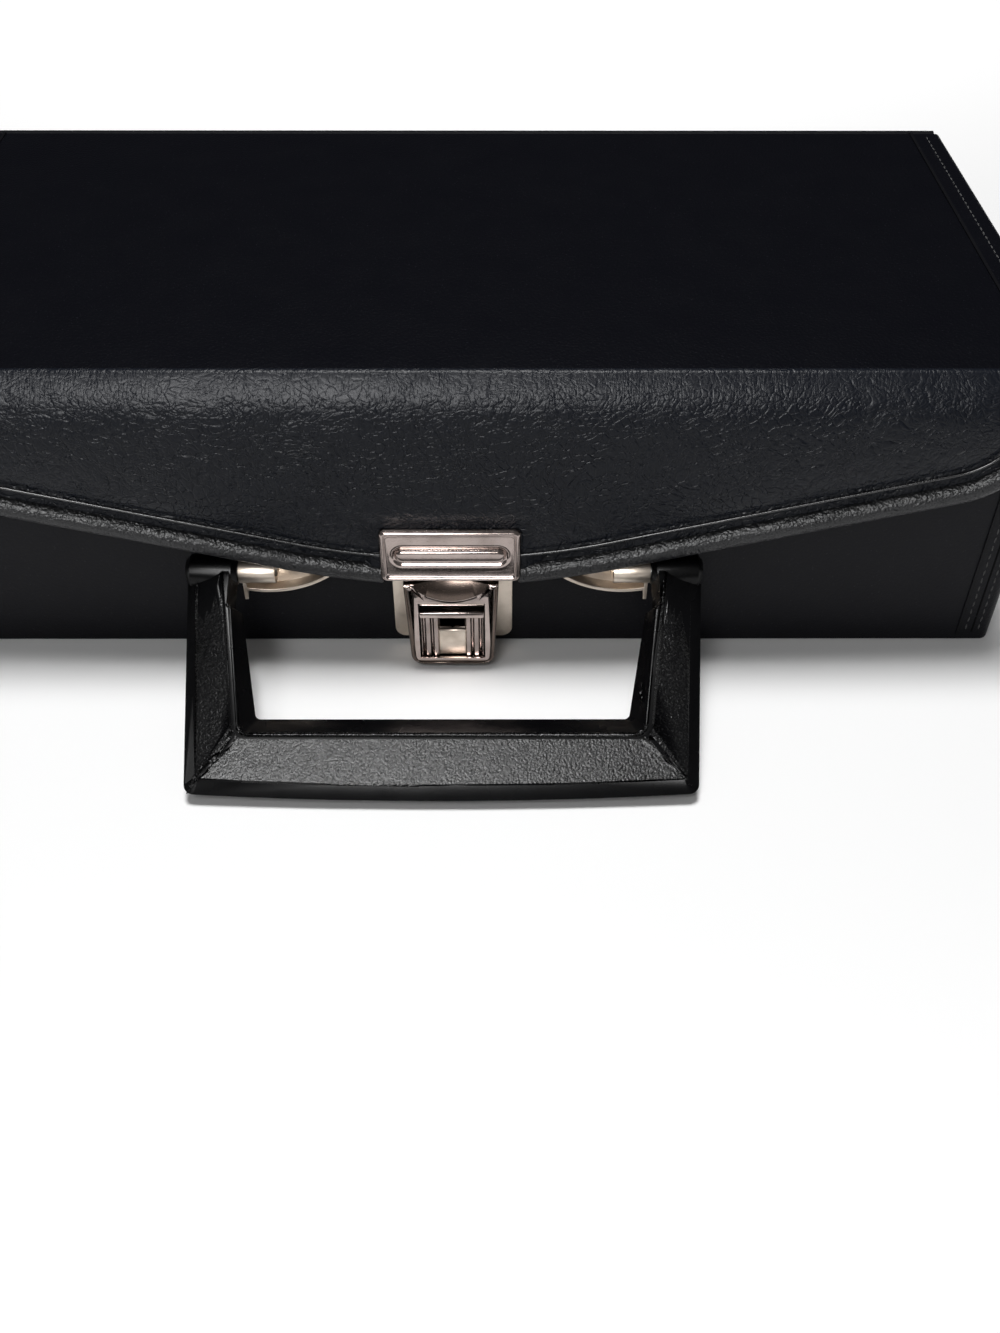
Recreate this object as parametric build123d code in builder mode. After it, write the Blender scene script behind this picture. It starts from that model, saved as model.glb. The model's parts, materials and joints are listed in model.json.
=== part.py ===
"""Cassette carrying case: a vinyl covered board box lying on its base, with a hinged lid,
a padded flap that hangs from the lid over the front wall, a slide lock and a bail handle.

Millimetres. +Z is up, the front wall faces -Y and +X is to the right. The origin is the
centre of the base, on the surface that the case lies on. The case is shut, its lock is
slid open and its handle hangs forward with its grip on that surface.
"""
from build123d import *
import os
from math import asin, atan, atan2, cos, hypot, radians, sin, sqrt, tan

os.makedirs("parts", exist_ok=True)

# ---------------------------------------------------------------- driving dimensions
# the box
CASE_WIDTH = 290.0
CASE_DEPTH = 137.0
CASE_HEIGHT = 84.0
VINYL_T = 0.6
BOARD_T = 2.4
LINING_T = 0.5
CORNER_R = 2.5
BASE_EDGE_R = 0.8
BASE_TURN_UP = 1.1          # how far the base sheet turns up past its rounded edge
LID_EDGE_R = 1.5
PARTING_GAP = 0.3           # between pieces that move past each other

# the stitched border along the ends, and the cord that covers its seam
BORDER_WIDTH = 9.0
SEAM_CORD_WIDTH = 0.8
SEAM_CORD_PROUD = 0.4

# the flap
FLAP_COVER_T = 0.6
FLAP_FOAM_T = 1.6
FLAP_BOARD_T = 1.5
FLAP_LINING_T = 0.6
FLAP_GAP = 1.4              # between the front wall and the flap, at the fold
FLAP_LEAN = 4.2             # degrees that the flap leans out from upright
FLAP_SIDE_INSET = 1.0
FLAP_SIDE = 4.2             # straight side below the fold's axis
FLAP_TIP_R = 180.0
FLAP_CORNER_R = 28.0
ROLL_R = 2.9                # the stuffed roll along the flap's edge
PANEL_GAP = 0.05            # between the panel and the rolls along its edges
FLAP_SEAM_IN = 9.0          # from the flap's edge to its seam cord
FLAP_SEAM_WIDTH = 0.9
FLAP_SEAM_PROUD = 0.6

# the catch on the flap
CATCH_WIDTH = 35.0
CATCH_HEIGHT = 15.2
CATCH_T = 1.0
CATCH_CORNER_R = 1.6
CATCH_ABOVE_TIP = 2.7
CATCH_RIM_WIDTH = 1.3
CATCH_RIM_PROUD = 0.5
CATCH_BEAD_LENGTH = 29.0
CATCH_BEAD_HEIGHT = 5.2
CATCH_BEAD_WALL = 0.9
CATCH_PRONG_SPACING = 26.0
CATCH_PRONG_WIDTH = 5.0
CATCH_PRONG_T = 0.8
CATCH_PRONG_UP = 11.7       # from the catch's lower edge
CATCH_BACK_WIDTH = 33.0
CATCH_BACK_HEIGHT = 6.0
CATCH_BACK_T = 0.7
NOTCH_MARGIN = 1.2          # how far the catch overlaps the flap's notch on each side
NOTCH_UP = 4.3              # height of the notch above the catch's lower edge
STAPLE_WIDTH = 10.0
STAPLE_T = 1.2
STAPLE_FOOT_T = 0.9
STAPLE_FOOT_HEIGHT = 3.0
STAPLE_REACH = 5.0          # from the catch towards the wall
STAPLE_UP = 0.4             # above the catch's lower edge
STAPLE_EYE_WIDTH = 5.0
STAPLE_EYE_DEPTH = 2.6

# the lock on the front wall
LOCK_PLATE_WIDTH = 31.2
LOCK_PLATE_T = 0.9
LOCK_PLATE_UP = 0.9         # above the housing's lower end
LOCK_PLATE_CORNER_R = 3.0
LOCK_PLATE_ABOVE = 9.0      # above the top of the housing
HOUSING_TOP_WIDTH = 24.0
HOUSING_BASE_WIDTH = 21.6
HOUSING_HEIGHT = 27.3
HOUSING_UP = 1.5            # above the base
HOUSING_DEPTH = 11.5        # from the wall to its front face
HOUSING_WALL = 1.2
HOUSING_CORNER_R = 3.2
HOUSING_EDGE_R = 0.9
HOUSING_TO_STAPLE = 0.7
SCOOP_R = 24.5
SCOOP_ANGLE = 61.0
SCOOP_SKIN = 1.0
SCOOP_BAR = 0.9             # metal left between the scoop and the slider's window
WINDOW_WIDTH = 17.0
WINDOW_HEIGHT = 18.9
WINDOW_SILL = 2.6           # above the housing's lower end
SLIDER_TRAVEL = 2.2
SLIDER_GAP = 0.3
SLIDER_PLATE_T = 0.8
SLIDER_PLATE_LAP = 0.7      # lap of the slider's back plate behind the window's sides
SLIDER_PLATE_CORNER_R = 1.6
SLIDER_BACK_OFF = 8.3       # from the wall to the slider's back plate
SLIDER_FACE_OFF = 10.9
SLIDER_RAMP_OFF = 10.3
SLIDER_LIP_OFF = 12.3
SLIDER_LIP_T = 1.8
SLIDER_POCKET_WIDTH = 7.0
SLIDER_POCKET_HEIGHT = 5.7
SLIDER_GROOVE_OFF = 10.0
SLIDER_GROOVE_WIDTH = 0.7
SLIDER_GROOVES = (5.2, 7.3)     # distances of the finger grooves from the middle
BOLT_WIDTH = 4.0
BOLT_T = 1.5
BOLT_HEIGHT = 20.6
BOLT_BACK_OFF = 6.15
BOLT_GAP = 0.2
SLIDER_RIVET_R = 1.1
SLIDER_RIVET_UP = 4.0       # above the bolt's lower end
DETENT_WIDTH = 3.6
DETENT_T = 0.3
DETENT_SPAN = 10.0
DETENT_GAP = 0.25
DETENT_TOP_GAP = 0.6        # below the inside of the housing's top

# the handle and its brackets
HANDLE_OFFSET = -1.7        # from the middle of the case to the handle's middle
BARREL_LENGTH = 9.2
BARREL_R = 3.0
BARREL_EDGE_GAP = 0.1       # between the barrel and the flap's edge above it
PIVOT_OFF = 4.9             # from the wall to the handle's axis
PIN_R = 1.5
PIN_GAP = 0.05
PIN_IN_HANDLE = 6.0
PIN_IN_BARREL = 8.8
BRACKET_T = 0.9
BRACKET_WIDTH = 22.4
BRACKET_RISE = 10.5         # above the axis
BRACKET_DROP = 7.2          # below the axis, at the lowest point of its round edge
BRACKET_OUTER_DROP = 6.8
BRACKET_INNER_DROP = 2.5
BRACKET_LOW_IN = 11.0       # from the bracket's outer edge to the lowest point of its round edge
BRACKET_FIN_DROP = 10.0     # below the axis, at the tip of the fin beside the leg
BRACKET_CORNER_R = 2.0
BRACKET_RIM_OFF = 4.2       # from the wall to the rim's edge
BRACKET_RIM_TOP = 0.5       # the rim stops this far below the axis
HANDLE_T = 8.0
HANDLE_EAR_R = 4.4
HANDLE_EAR_CHAMFER = 1.2
HANDLE_LEG_GAP = 0.3        # between a leg and its bracket
HANDLE_ROOT_WIDTH = 130.2   # over the legs, at the axis
HANDLE_LEG_WIDTH = 12.8     # at the axis
HANDLE_TAPER = 3.8          # how far a leg's outside comes in, from the axis to the grip
HANDLE_REACH = 58.4         # from the axis to the grip's outer corners
HANDLE_BOW = 1.8
HANDLE_STRAIGHT = 10.6      # straight stretch of a leg's inside, beside its bracket
HANDLE_SHOULDER_IN = 1.9    # step of a leg's inside below its bracket
HANDLE_SHOULDER_LENGTH = 1.2
HANDLE_GRIP_DEPTH = 18.7
HANDLE_CORNER_WIDTH = 16.0  # width of a leg at the grip
HANDLE_UNDER_BEVEL = 1.8    # all round the underside
HANDLE_UNDER_R = 1.6
HANDLE_OUTER_R = 2.6
HANDLE_INNER_R = 1.5
HANDLE_EDGE_UP = 1.6        # from the middle of the thickness to the faces' outer edge
HANDLE_EDGE_OUTER = 2.7     # bevel up to that edge, on the outside of the legs
HANDLE_EDGE_TIP = 3.0       # the same along the grip's outer side
HANDLE_EDGE_R = 1.0
HANDLE_RIDGE_WIDTH = 0.6    # flat ridge round the window, at the top of the faces
HANDLE_RIDGE_ROOT = 2.0     # the same beside the brackets
HANDLE_RIDGE_LEG = 1.6      # slope from the window up to the ridge, beside the brackets
HANDLE_RIDGE_CORNER = 3.4   # the same at the window's corners
HANDLE_RIDGE_HEEL = 5.2     # the same along the grip
HANDLE_RIDGE_BOW = 0.2
HANDLE_RIDGE_R = 3.0
FLOOR_GAP = 0.02            # under the resting grip

# rivets
RIVET_R = 1.5
RIVET_HEAD_R = 2.7
RIVET_HEAD_T = 0.8
BACK_PLATE_T = 0.8
LOCK_RIVET_X = 12.0
LOCK_RIVET_ABOVE = 5.5      # above the top of the housing
LOCK_RIVET_INNER_X = 6.5
LOCK_RIVET_INNER_UP = 5.2   # above the bottom of the housing
LOCK_BACK_MARGIN = 3.0
BRACKET_RIVET_IN = (17.0, 3.5)  # from the bracket's outer edge
BRACKET_RIVET_UP = 6.6      # above the axis
BRACKET_BACK_MARGIN = 4.0

# the cassette tray
SLOT_COUNT = 15
TRAY_LEDGE = 7.0            # beside the slots, front and back
TRAY_WALL = 1.2
TRAY_BELOW_RIM = 14.7       # from the top of the walls down to the tray's rim
TRAY_END_GAP = 0.5
TRAY_SIDE_GAP = 2.5
DIVIDER_T = 1.2
DIVIDER_DROP = 4.0          # below the tray's rim

# ---------------------------------------------------------------- derived places
half_w = CASE_WIDTH / 2
half_d = CASE_DEPTH / 2
wall_t = VINYL_T + BOARD_T + LINING_T
lid_low_z = CASE_HEIGHT - wall_t
wall_top_z = lid_low_z - PARTING_GAP
base_sheet_top_z = BASE_EDGE_R + BASE_TURN_UP
cavity_x = half_w - wall_t
cavity_y = half_d - wall_t
border_x = half_w - BORDER_WIDTH
sheet_x = border_x - SEAM_CORD_WIDTH / 2

hinge_r = wall_t / 2
hinge_y = half_d - hinge_r
hinge_z = CASE_HEIGHT - hinge_r

flap_t = FLAP_COVER_T + FLAP_FOAM_T + FLAP_BOARD_T + FLAP_LINING_T
fold_r = flap_t / 2
fold_y = -(half_d + FLAP_GAP + fold_r)
fold_z = CASE_HEIGHT - fold_r
lean = radians(FLAP_LEAN)
flap_half_w = half_w - FLAP_SIDE_INSET
flap_plane = Plane(origin=(0, fold_y, fold_z), x_dir=(1, 0, 0), z_dir=(0, -cos(lean), sin(lean)))
lid_front_y = fold_y + fold_r + PARTING_GAP
lid_back_y = hinge_y - hinge_r - PARTING_GAP
lid_middle_y = (lid_front_y + lid_back_y) / 2
lid_depth = lid_back_y - lid_front_y

# the lock stands at the foot of the front wall, and the flap hangs down to it
housing_low_z = HOUSING_UP
housing_top_z = housing_low_z + HOUSING_HEIGHT
staple_low_z = housing_top_z + HOUSING_TO_STAPLE
staple_low = (staple_low_z - fold_z - (fold_r - STAPLE_REACH) * sin(lean)) / cos(lean)
catch_low = staple_low - STAPLE_UP
flap_drop = CATCH_ABOVE_TIP - catch_low

# the flap's edge: a wide arc at the tip, a straight flank tangent to it, and a corner arc
corner_centre_x = flap_half_w - FLAP_CORNER_R
radius_change = FLAP_TIP_R - FLAP_CORNER_R
centre_rise = flap_drop - FLAP_SIDE - FLAP_TIP_R
flank_angle = atan2(centre_rise, corner_centre_x) + asin(
    radius_change / hypot(centre_rise, corner_centre_x))

catch_high = catch_low + CATCH_HEIGHT
catch_middle = (catch_low + catch_high) / 2
notch_half_w = CATCH_WIDTH / 2 - NOTCH_MARGIN
notch_top = catch_low + NOTCH_UP
prong_y = catch_low + CATCH_PRONG_UP

front_plane = Plane(origin=(0, -half_d, 0), x_dir=(1, 0, 0), z_dir=(0, -1, 0))
inside_plane = Plane(origin=(0, -cavity_y, 0), x_dir=(1, 0, 0), z_dir=(0, -1, 0))


def flap_point(up, out):
    """World (y, z) of a point on the flap: up from the fold's axis, out from its middle."""
    return (fold_y + up * sin(lean) - out * cos(lean), fold_z + up * cos(lean) + out * sin(lean))


def flap_edge(x):
    """Height of the flap's lower edge at x, in the flap's plane, on its tip or its flank."""
    tangent_x = FLAP_TIP_R * sin(flank_angle)
    if x < tangent_x:
        return -flap_drop + FLAP_TIP_R - sqrt(FLAP_TIP_R**2 - x**2)
    flank_start = -flap_drop + FLAP_TIP_R * (1 - cos(flank_angle))
    return flank_start + (x - tangent_x) * tan(flank_angle)


window_low_z = housing_low_z + WINDOW_SILL
window_high_z = window_low_z + WINDOW_HEIGHT
window_middle_z = (window_high_z + window_low_z) / 2
scoop_floor_z = window_high_z + SCOOP_BAR
lock_plate_low_z = housing_low_z + LOCK_PLATE_UP
lock_plate_top_z = housing_top_z + LOCK_PLATE_ABOVE

slider_half_w = WINDOW_WIDTH / 2 - SLIDER_GAP
slider_low_z = window_low_z + SLIDER_GAP
slider_high_z = window_high_z - SLIDER_TRAVEL - SLIDER_GAP
slider_plate_half_w = WINDOW_WIDTH / 2 + SLIDER_PLATE_LAP
slider_plate_low_z = window_low_z - SLIDER_PLATE_LAP
slider_plate_high_z = window_high_z + SLIDER_GAP
pocket_high_z = slider_high_z - SLIDER_LIP_T
pocket_low_z = pocket_high_z - SLIDER_POCKET_HEIGHT
bolt_high_z = housing_top_z - BOLT_GAP
bolt_low_z = bolt_high_z - BOLT_HEIGHT
bolt_middle_off = BOLT_BACK_OFF + BOLT_T / 2
slider_rivet_z = bolt_low_z + SLIDER_RIVET_UP

pivot_y = -half_d - PIVOT_OFF
leg_outer_x = HANDLE_ROOT_WIDTH / 2
leg_inner_x = leg_outer_x - HANDLE_LEG_WIDTH
grip_outer_x = leg_outer_x - HANDLE_TAPER
grip_inner_x = grip_outer_x - HANDLE_CORNER_WIDTH
bracket_outer_x = leg_inner_x - HANDLE_LEG_GAP
bracket_inner_x = bracket_outer_x - BRACKET_WIDTH
barrel_inner_x = bracket_outer_x - BARREL_LENGTH
barrel_low_x = barrel_inner_x - abs(HANDLE_OFFSET)
pivot_z = flap_point(flap_edge(barrel_low_x), 0)[1] - BARREL_EDGE_GAP - BARREL_R
rim_reach = HANDLE_REACH + HANDLE_BOW - HANDLE_UNDER_BEVEL
rim_angle = atan(HANDLE_T / 2 / rim_reach)
handle_tilt = asin((pivot_z - FLOOR_GAP) / hypot(rim_reach, HANDLE_T / 2)) - rim_angle
handle_plane = Plane(origin=(HANDLE_OFFSET, pivot_y, pivot_z), x_dir=(1, 0, 0),
                     z_dir=(0, -sin(handle_tilt), cos(handle_tilt)))
handle_middle = Plane.YZ.offset(HANDLE_OFFSET)
bracket_plane = Plane(origin=(HANDLE_OFFSET, -half_d, 0), x_dir=(1, 0, 0), z_dir=(0, -1, 0))

tray_low_z = wall_t
tray_high_z = wall_top_z - TRAY_BELOW_RIM
tray_half_x = cavity_x - TRAY_END_GAP
tray_half_y = cavity_y - TRAY_SIDE_GAP
pocket_half_x = tray_half_x - TRAY_WALL
slot_half_y = tray_half_y - TRAY_LEDGE
slot_pitch = (2 * pocket_half_x + DIVIDER_T) / SLOT_COUNT
divider_high_z = tray_high_z - DIVIDER_DROP

lock_rivet_spots = [
    (-LOCK_RIVET_X, housing_top_z + LOCK_RIVET_ABOVE),
    (LOCK_RIVET_X, housing_top_z + LOCK_RIVET_ABOVE),
    (-LOCK_RIVET_INNER_X, housing_low_z + LOCK_RIVET_INNER_UP),
    (LOCK_RIVET_INNER_X, housing_low_z + LOCK_RIVET_INNER_UP),
]
bracket_rivet_spots = [
    (HANDLE_OFFSET + side * (bracket_outer_x - inwards), pivot_z + BRACKET_RIVET_UP)
    for side in (-1, 1) for inwards in BRACKET_RIVET_IN]


# ---------------------------------------------------------------- helpers
def write(piece, label):
    """Label a finished piece and write it as its own node."""
    piece.part.label = label
    export_step(piece.part, f"parts/{label}.step")


def block(low, high, mode=Mode.ADD):
    """A block between two opposite corners, in the builder that is open."""
    size = tuple(top - bottom for bottom, top in zip(low, high))
    middle = tuple((top + bottom) / 2 for bottom, top in zip(low, high))
    with Locations(middle):
        Box(*size, mode=mode)


def tub_form(inset):
    """The box below its lid as a solid, drawn in by inset on its sides and base."""
    with BuildPart() as form:
        with BuildSketch(Plane.XY.offset(inset)):
            RectangleRounded(CASE_WIDTH - 2 * inset, CASE_DEPTH - 2 * inset, CORNER_R - inset)
        extrude(amount=wall_top_z - inset)
        fillet(form.faces().sort_by(Axis.Z)[0].edges(), BASE_EDGE_R - inset)
    return form.part


def rivet_holes(spots):
    """Bore rivet holes through the front wall's piece that is being built."""
    with BuildSketch(inside_plane.offset(-BACK_PLATE_T)) as holes:
        with Locations(*spots):
            Circle(RIVET_R)
    extrude(holes.sketch, amount=wall_t + BACK_PLATE_T + LOCK_PLATE_T, mode=Mode.SUBTRACT)


def discs(plane, spots, radius, height):
    """Round discs of one size on a plane."""
    with BuildSketch(plane) as circles:
        with Locations(*spots):
            Circle(radius)
    extrude(circles.sketch, amount=height)


def rivets(spots, seat_off):
    """Rivets from heads that stand seat_off from the wall to heads behind the back plates."""
    discs(front_plane.offset(seat_off), spots, RIVET_HEAD_R, RIVET_HEAD_T)
    discs(inside_plane.offset(-BACK_PLATE_T), spots, RIVET_R, BACK_PLATE_T + wall_t + seat_off)
    discs(inside_plane.offset(-BACK_PLATE_T - RIVET_HEAD_T), spots, RIVET_HEAD_R, RIVET_HEAD_T)


def flap_outline(inset):
    """The flap's edge drawn in by inset, as a face that runs up past the fold."""
    tip_r = FLAP_TIP_R - inset
    corner_r = FLAP_CORNER_R - inset
    tip_centre = FLAP_TIP_R - flap_drop
    tip_x = tip_r * sin(flank_angle)
    tip_y = tip_centre - tip_r * cos(flank_angle)
    turn_x = corner_centre_x + corner_r * sin(flank_angle)
    turn_y = -FLAP_SIDE - corner_r * cos(flank_angle)
    side_x = corner_centre_x + corner_r
    mid_angle = (flank_angle + radians(90)) / 2
    mid_x = corner_centre_x + corner_r * sin(mid_angle)
    mid_y = -FLAP_SIDE - corner_r * cos(mid_angle)
    with BuildLine() as edge:
        ThreePointArc((-tip_x, tip_y), (0, tip_centre - tip_r), (tip_x, tip_y))
        for side in (-1, 1):
            Line((side * tip_x, tip_y), (side * turn_x, turn_y))
            ThreePointArc((side * turn_x, turn_y), (side * mid_x, mid_y), (side * side_x, -FLAP_SIDE))
            Line((side * side_x, -FLAP_SIDE), (side * side_x, 0))
        Line((-side_x, 0), (side_x, 0))
    make_face(edge.edges())


def flap_layer(low, high):
    """One layer of the flap's panel, between two distances from its middle plane."""
    with BuildSketch(flap_plane.offset(low)) as layer:
        flap_outline(2 * ROLL_R + PANEL_GAP)
        with Locations((0, -fold_r / 2)):
            Rectangle(CASE_WIDTH, fold_r + 2 * PANEL_GAP, mode=Mode.SUBTRACT)
        with Locations((0, notch_top - flap_drop / 2)):
            Rectangle(2 * notch_half_w, flap_drop, mode=Mode.SUBTRACT)
        prong_profile(Mode.SUBTRACT)
    extrude(layer.sketch, amount=high - low)


def prong_profile(mode=Mode.ADD):
    """The cross-sections of the catch's two prongs."""
    with Locations((0, prong_y)):
        with GridLocations(CATCH_PRONG_SPACING, 1, 2, 1):
            Rectangle(CATCH_PRONG_WIDTH, CATCH_PRONG_T, mode=mode)


def housing_outline(inset):
    """The lock housing seen from the front, drawn in by inset."""
    top_half = HOUSING_TOP_WIDTH / 2 - inset
    low_half = HOUSING_BASE_WIDTH / 2 - inset
    with BuildLine() as edge:
        Polyline(
            (-low_half, housing_low_z + inset), (low_half, housing_low_z + inset),
            (top_half, housing_top_z - inset), (-top_half, housing_top_z - inset), close=True)
    make_face(edge.edges())


def scoop(grow):
    """The slanting round cut in the housing's top, under the catch's edge."""
    angle = radians(SCOOP_ANGLE)
    along = (0, cos(angle), sin(angle))
    centre_y = -half_d - HOUSING_DEPTH - SCOOP_R * sin(angle)
    centre_z = scoop_floor_z + SCOOP_R * cos(angle)
    with BuildSketch(Plane(origin=(0, centre_y, centre_z), z_dir=along)) as cut:
        Circle(SCOOP_R + grow)
    extrude(cut.sketch, amount=2 * HOUSING_HEIGHT, both=True, mode=Mode.SUBTRACT)


def handle_outline(outer, inner, tip, heel, bow):
    """The handle's U seen along its thickness, each edge drawn in by a bevel of its own.

    The outer and the inner bevel have one value beside the brackets and one at the grip.
    """
    root_out = leg_outer_x - outer[0]
    grip_out = grip_outer_x - outer[1]
    root_in = leg_inner_x + inner[0]
    grip_in = grip_inner_x + inner[1]
    leg_in = leg_inner_x - HANDLE_SHOULDER_IN + (inner[0] + inner[1]) / 2
    shoulder = -HANDLE_STRAIGHT - HANDLE_SHOULDER_LENGTH
    reach = -HANDLE_REACH + tip
    window = -HANDLE_REACH + HANDLE_GRIP_DEPTH - heel
    with BuildLine() as edge:
        ThreePointArc((-grip_out, reach), (0, reach - bow), (grip_out, reach))
        Polyline((-grip_out, reach), (-root_out, 0), (-root_in, 0), (-root_in, -HANDLE_STRAIGHT),
                 (-leg_in, shoulder), (-grip_in, window), (grip_in, window), (leg_in, shoulder),
                 (root_in, -HANDLE_STRAIGHT), (root_in, 0), (root_out, 0), (grip_out, reach))
    make_face(edge.edges())


def handle_half(*levels):
    """The handle's body between levels of its thickness: offset, bevels and corner radii."""
    profiles = []
    for offset, bevels, inner_r, outer_r in levels:
        with BuildSketch(handle_plane.offset(offset)) as level:
            handle_outline(*bevels)
            fillet(level.vertices().sort_by(Axis.Y)[2:4], inner_r)
            fillet(level.vertices().sort_by(Axis.Y)[:2], outer_r)
        profiles.append(level.sketch)
    loft(profiles, ruled=True)


# ---------------------------------------------------------------- the box
outer_form = tub_form(0)
board_form = tub_form(VINYL_T)

with BuildPart() as bottom_cover:
    add(outer_form)
    add(board_form, mode=Mode.SUBTRACT)
    block((-half_w, -half_d, 0), (half_w, half_d, base_sheet_top_z), Mode.INTERSECT)
write(bottom_cover, "bottom_cover")

with BuildPart() as bottom_board:
    add(board_form)
    block((-half_w, -half_d, 0), (half_w, half_d, VINYL_T + BOARD_T), Mode.INTERSECT)
write(bottom_board, "bottom_board")

with BuildPart() as front_board:
    add(board_form)
    block((-cavity_x - LINING_T, -half_d, VINYL_T + BOARD_T),
          (cavity_x + LINING_T, -cavity_y - LINING_T, wall_top_z), Mode.INTERSECT)
    rivet_holes(lock_rivet_spots + bracket_rivet_spots)
write(front_board, "front_board")

with BuildPart() as back_board:
    add(board_form)
    block((-cavity_x - LINING_T, cavity_y + LINING_T, VINYL_T + BOARD_T),
          (cavity_x + LINING_T, half_d, wall_top_z), Mode.INTERSECT)
write(back_board, "back_board")

with BuildPart() as front_cover:
    block((-sheet_x, -half_d, base_sheet_top_z), (sheet_x, -half_d + VINYL_T, wall_top_z))
    rivet_holes(lock_rivet_spots + bracket_rivet_spots)
write(front_cover, "front_cover")

with BuildPart() as back_cover:
    block((-sheet_x, half_d - VINYL_T, base_sheet_top_z), (sheet_x, half_d, wall_top_z))
write(back_cover, "back_cover")

with BuildPart() as right_end_board:
    add(board_form)
    block((cavity_x + LINING_T, -half_d, VINYL_T + BOARD_T),
          (half_w, half_d, wall_top_z), Mode.INTERSECT)
write(right_end_board, "right_end_board")

with BuildPart() as left_end_board:
    mirror(right_end_board.part, about=Plane.YZ)
write(left_end_board, "left_end_board")

with BuildPart() as right_end_cover:
    add(outer_form)
    add(board_form, mode=Mode.SUBTRACT)
    block((border_x + SEAM_CORD_WIDTH / 2, -half_d, base_sheet_top_z),
          (half_w, half_d, wall_top_z), Mode.INTERSECT)
write(right_end_cover, "right_end_cover")

with BuildPart() as left_end_cover:
    mirror(right_end_cover.part, about=Plane.YZ)
write(left_end_cover, "left_end_cover")

with BuildPart() as body_seam_cords:
    with BuildSketch(Plane.XY.offset(base_sheet_top_z)):
        for side in (-1, 1):
            with Locations((0, side * (half_d - (VINYL_T - SEAM_CORD_PROUD) / 2))):
                with GridLocations(2 * border_x, 1, 2, 1):
                    Rectangle(SEAM_CORD_WIDTH, VINYL_T + SEAM_CORD_PROUD)
    extrude(amount=wall_top_z - base_sheet_top_z)
write(body_seam_cords, "body_seam_cords")

with BuildPart() as body_lining:
    block((-cavity_x - LINING_T, -cavity_y - LINING_T, VINYL_T + BOARD_T),
          (cavity_x + LINING_T, cavity_y + LINING_T, wall_top_z))
    block((-cavity_x, -cavity_y, wall_t), (cavity_x, cavity_y, wall_top_z), Mode.SUBTRACT)
    rivet_holes(lock_rivet_spots + bracket_rivet_spots)
write(body_lining, "body_lining")

# ---------------------------------------------------------------- the cassette tray
with BuildPart() as cassette_tray:
    block((-tray_half_x, -tray_half_y, tray_low_z), (tray_half_x, tray_half_y, tray_high_z))
    block((-pocket_half_x, -slot_half_y, tray_low_z + TRAY_WALL),
          (pocket_half_x, slot_half_y, tray_high_z), Mode.SUBTRACT)
    for side in (-1, 1):
        near, far = sorted((side * (slot_half_y + TRAY_WALL), side * (tray_half_y - TRAY_WALL)))
        block((-tray_half_x, near, tray_low_z), (tray_half_x, far, tray_high_z - TRAY_WALL),
              Mode.SUBTRACT)
write(cassette_tray, "cassette_tray")

with BuildPart() as slot_dividers:
    with BuildSketch(Plane.XY.offset(tray_low_z + TRAY_WALL)):
        with GridLocations(slot_pitch, 1, SLOT_COUNT - 1, 1):
            Rectangle(DIVIDER_T, 2 * slot_half_y)
    extrude(amount=divider_high_z - tray_low_z - TRAY_WALL)
write(slot_dividers, "slot_dividers")

# ---------------------------------------------------------------- the lid
with BuildPart() as lid_board:
    with Locations((0, lid_middle_y, lid_low_z + LINING_T + BOARD_T / 2)):
        Box(CASE_WIDTH - 2 * VINYL_T, lid_depth, BOARD_T)
    ends = lid_board.edges().filter_by(Axis.Y).group_by(Axis.Z)[-1]
    fillet(ends, LID_EDGE_R - VINYL_T)
write(lid_board, "lid_board")

with BuildPart() as lid_cover:
    block((-sheet_x, lid_front_y, CASE_HEIGHT - VINYL_T), (sheet_x, lid_back_y, CASE_HEIGHT))
write(lid_cover, "lid_cover")

with BuildPart() as lid_lining:
    block((-half_w + VINYL_T, lid_front_y, lid_low_z),
          (half_w - VINYL_T, lid_back_y, lid_low_z + LINING_T))
write(lid_lining, "lid_lining")

with BuildPart() as right_lid_border:
    with Locations((0, lid_middle_y, lid_low_z + wall_t / 2)):
        Box(CASE_WIDTH, lid_depth, wall_t)
    fillet(right_lid_border.edges().filter_by(Axis.Y).group_by(Axis.Z)[-1], LID_EDGE_R)
    add(lid_board.part, mode=Mode.SUBTRACT)
    add(lid_lining.part, mode=Mode.SUBTRACT)
    block((border_x + SEAM_CORD_WIDTH / 2, lid_front_y, lid_low_z),
          (half_w, lid_back_y, CASE_HEIGHT), Mode.INTERSECT)
write(right_lid_border, "right_lid_border")

with BuildPart() as left_lid_border:
    mirror(right_lid_border.part, about=Plane.YZ)
write(left_lid_border, "left_lid_border")

with BuildPart() as lid_seam_cords:
    with BuildSketch(Plane.XY.offset(CASE_HEIGHT - VINYL_T)):
        with Locations((0, lid_middle_y)):
            with GridLocations(2 * border_x, 1, 2, 1):
                Rectangle(SEAM_CORD_WIDTH, lid_depth)
    extrude(amount=VINYL_T + SEAM_CORD_PROUD)
write(lid_seam_cords, "lid_seam_cords")

with BuildPart() as hinge_roll:
    with BuildSketch(Plane.YZ.offset(-half_w + LID_EDGE_R)):
        with Locations((hinge_y, hinge_z)):
            Circle(hinge_r)
    extrude(amount=CASE_WIDTH - 2 * LID_EDGE_R)
write(hinge_roll, "hinge_roll")

# ---------------------------------------------------------------- the flap
with BuildPart() as fold_roll:
    with BuildSketch(Plane.YZ.offset(-flap_half_w)):
        with Locations((fold_y, fold_z)):
            Circle(fold_r)
    extrude(amount=2 * flap_half_w)
write(fold_roll, "fold_roll")

layer_low = -fold_r
with BuildPart() as flap_lining:
    flap_layer(layer_low, layer_low + FLAP_LINING_T)
write(flap_lining, "flap_lining")

layer_low += FLAP_LINING_T
with BuildPart() as flap_board:
    flap_layer(layer_low, layer_low + FLAP_BOARD_T)
write(flap_board, "flap_board")

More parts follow.
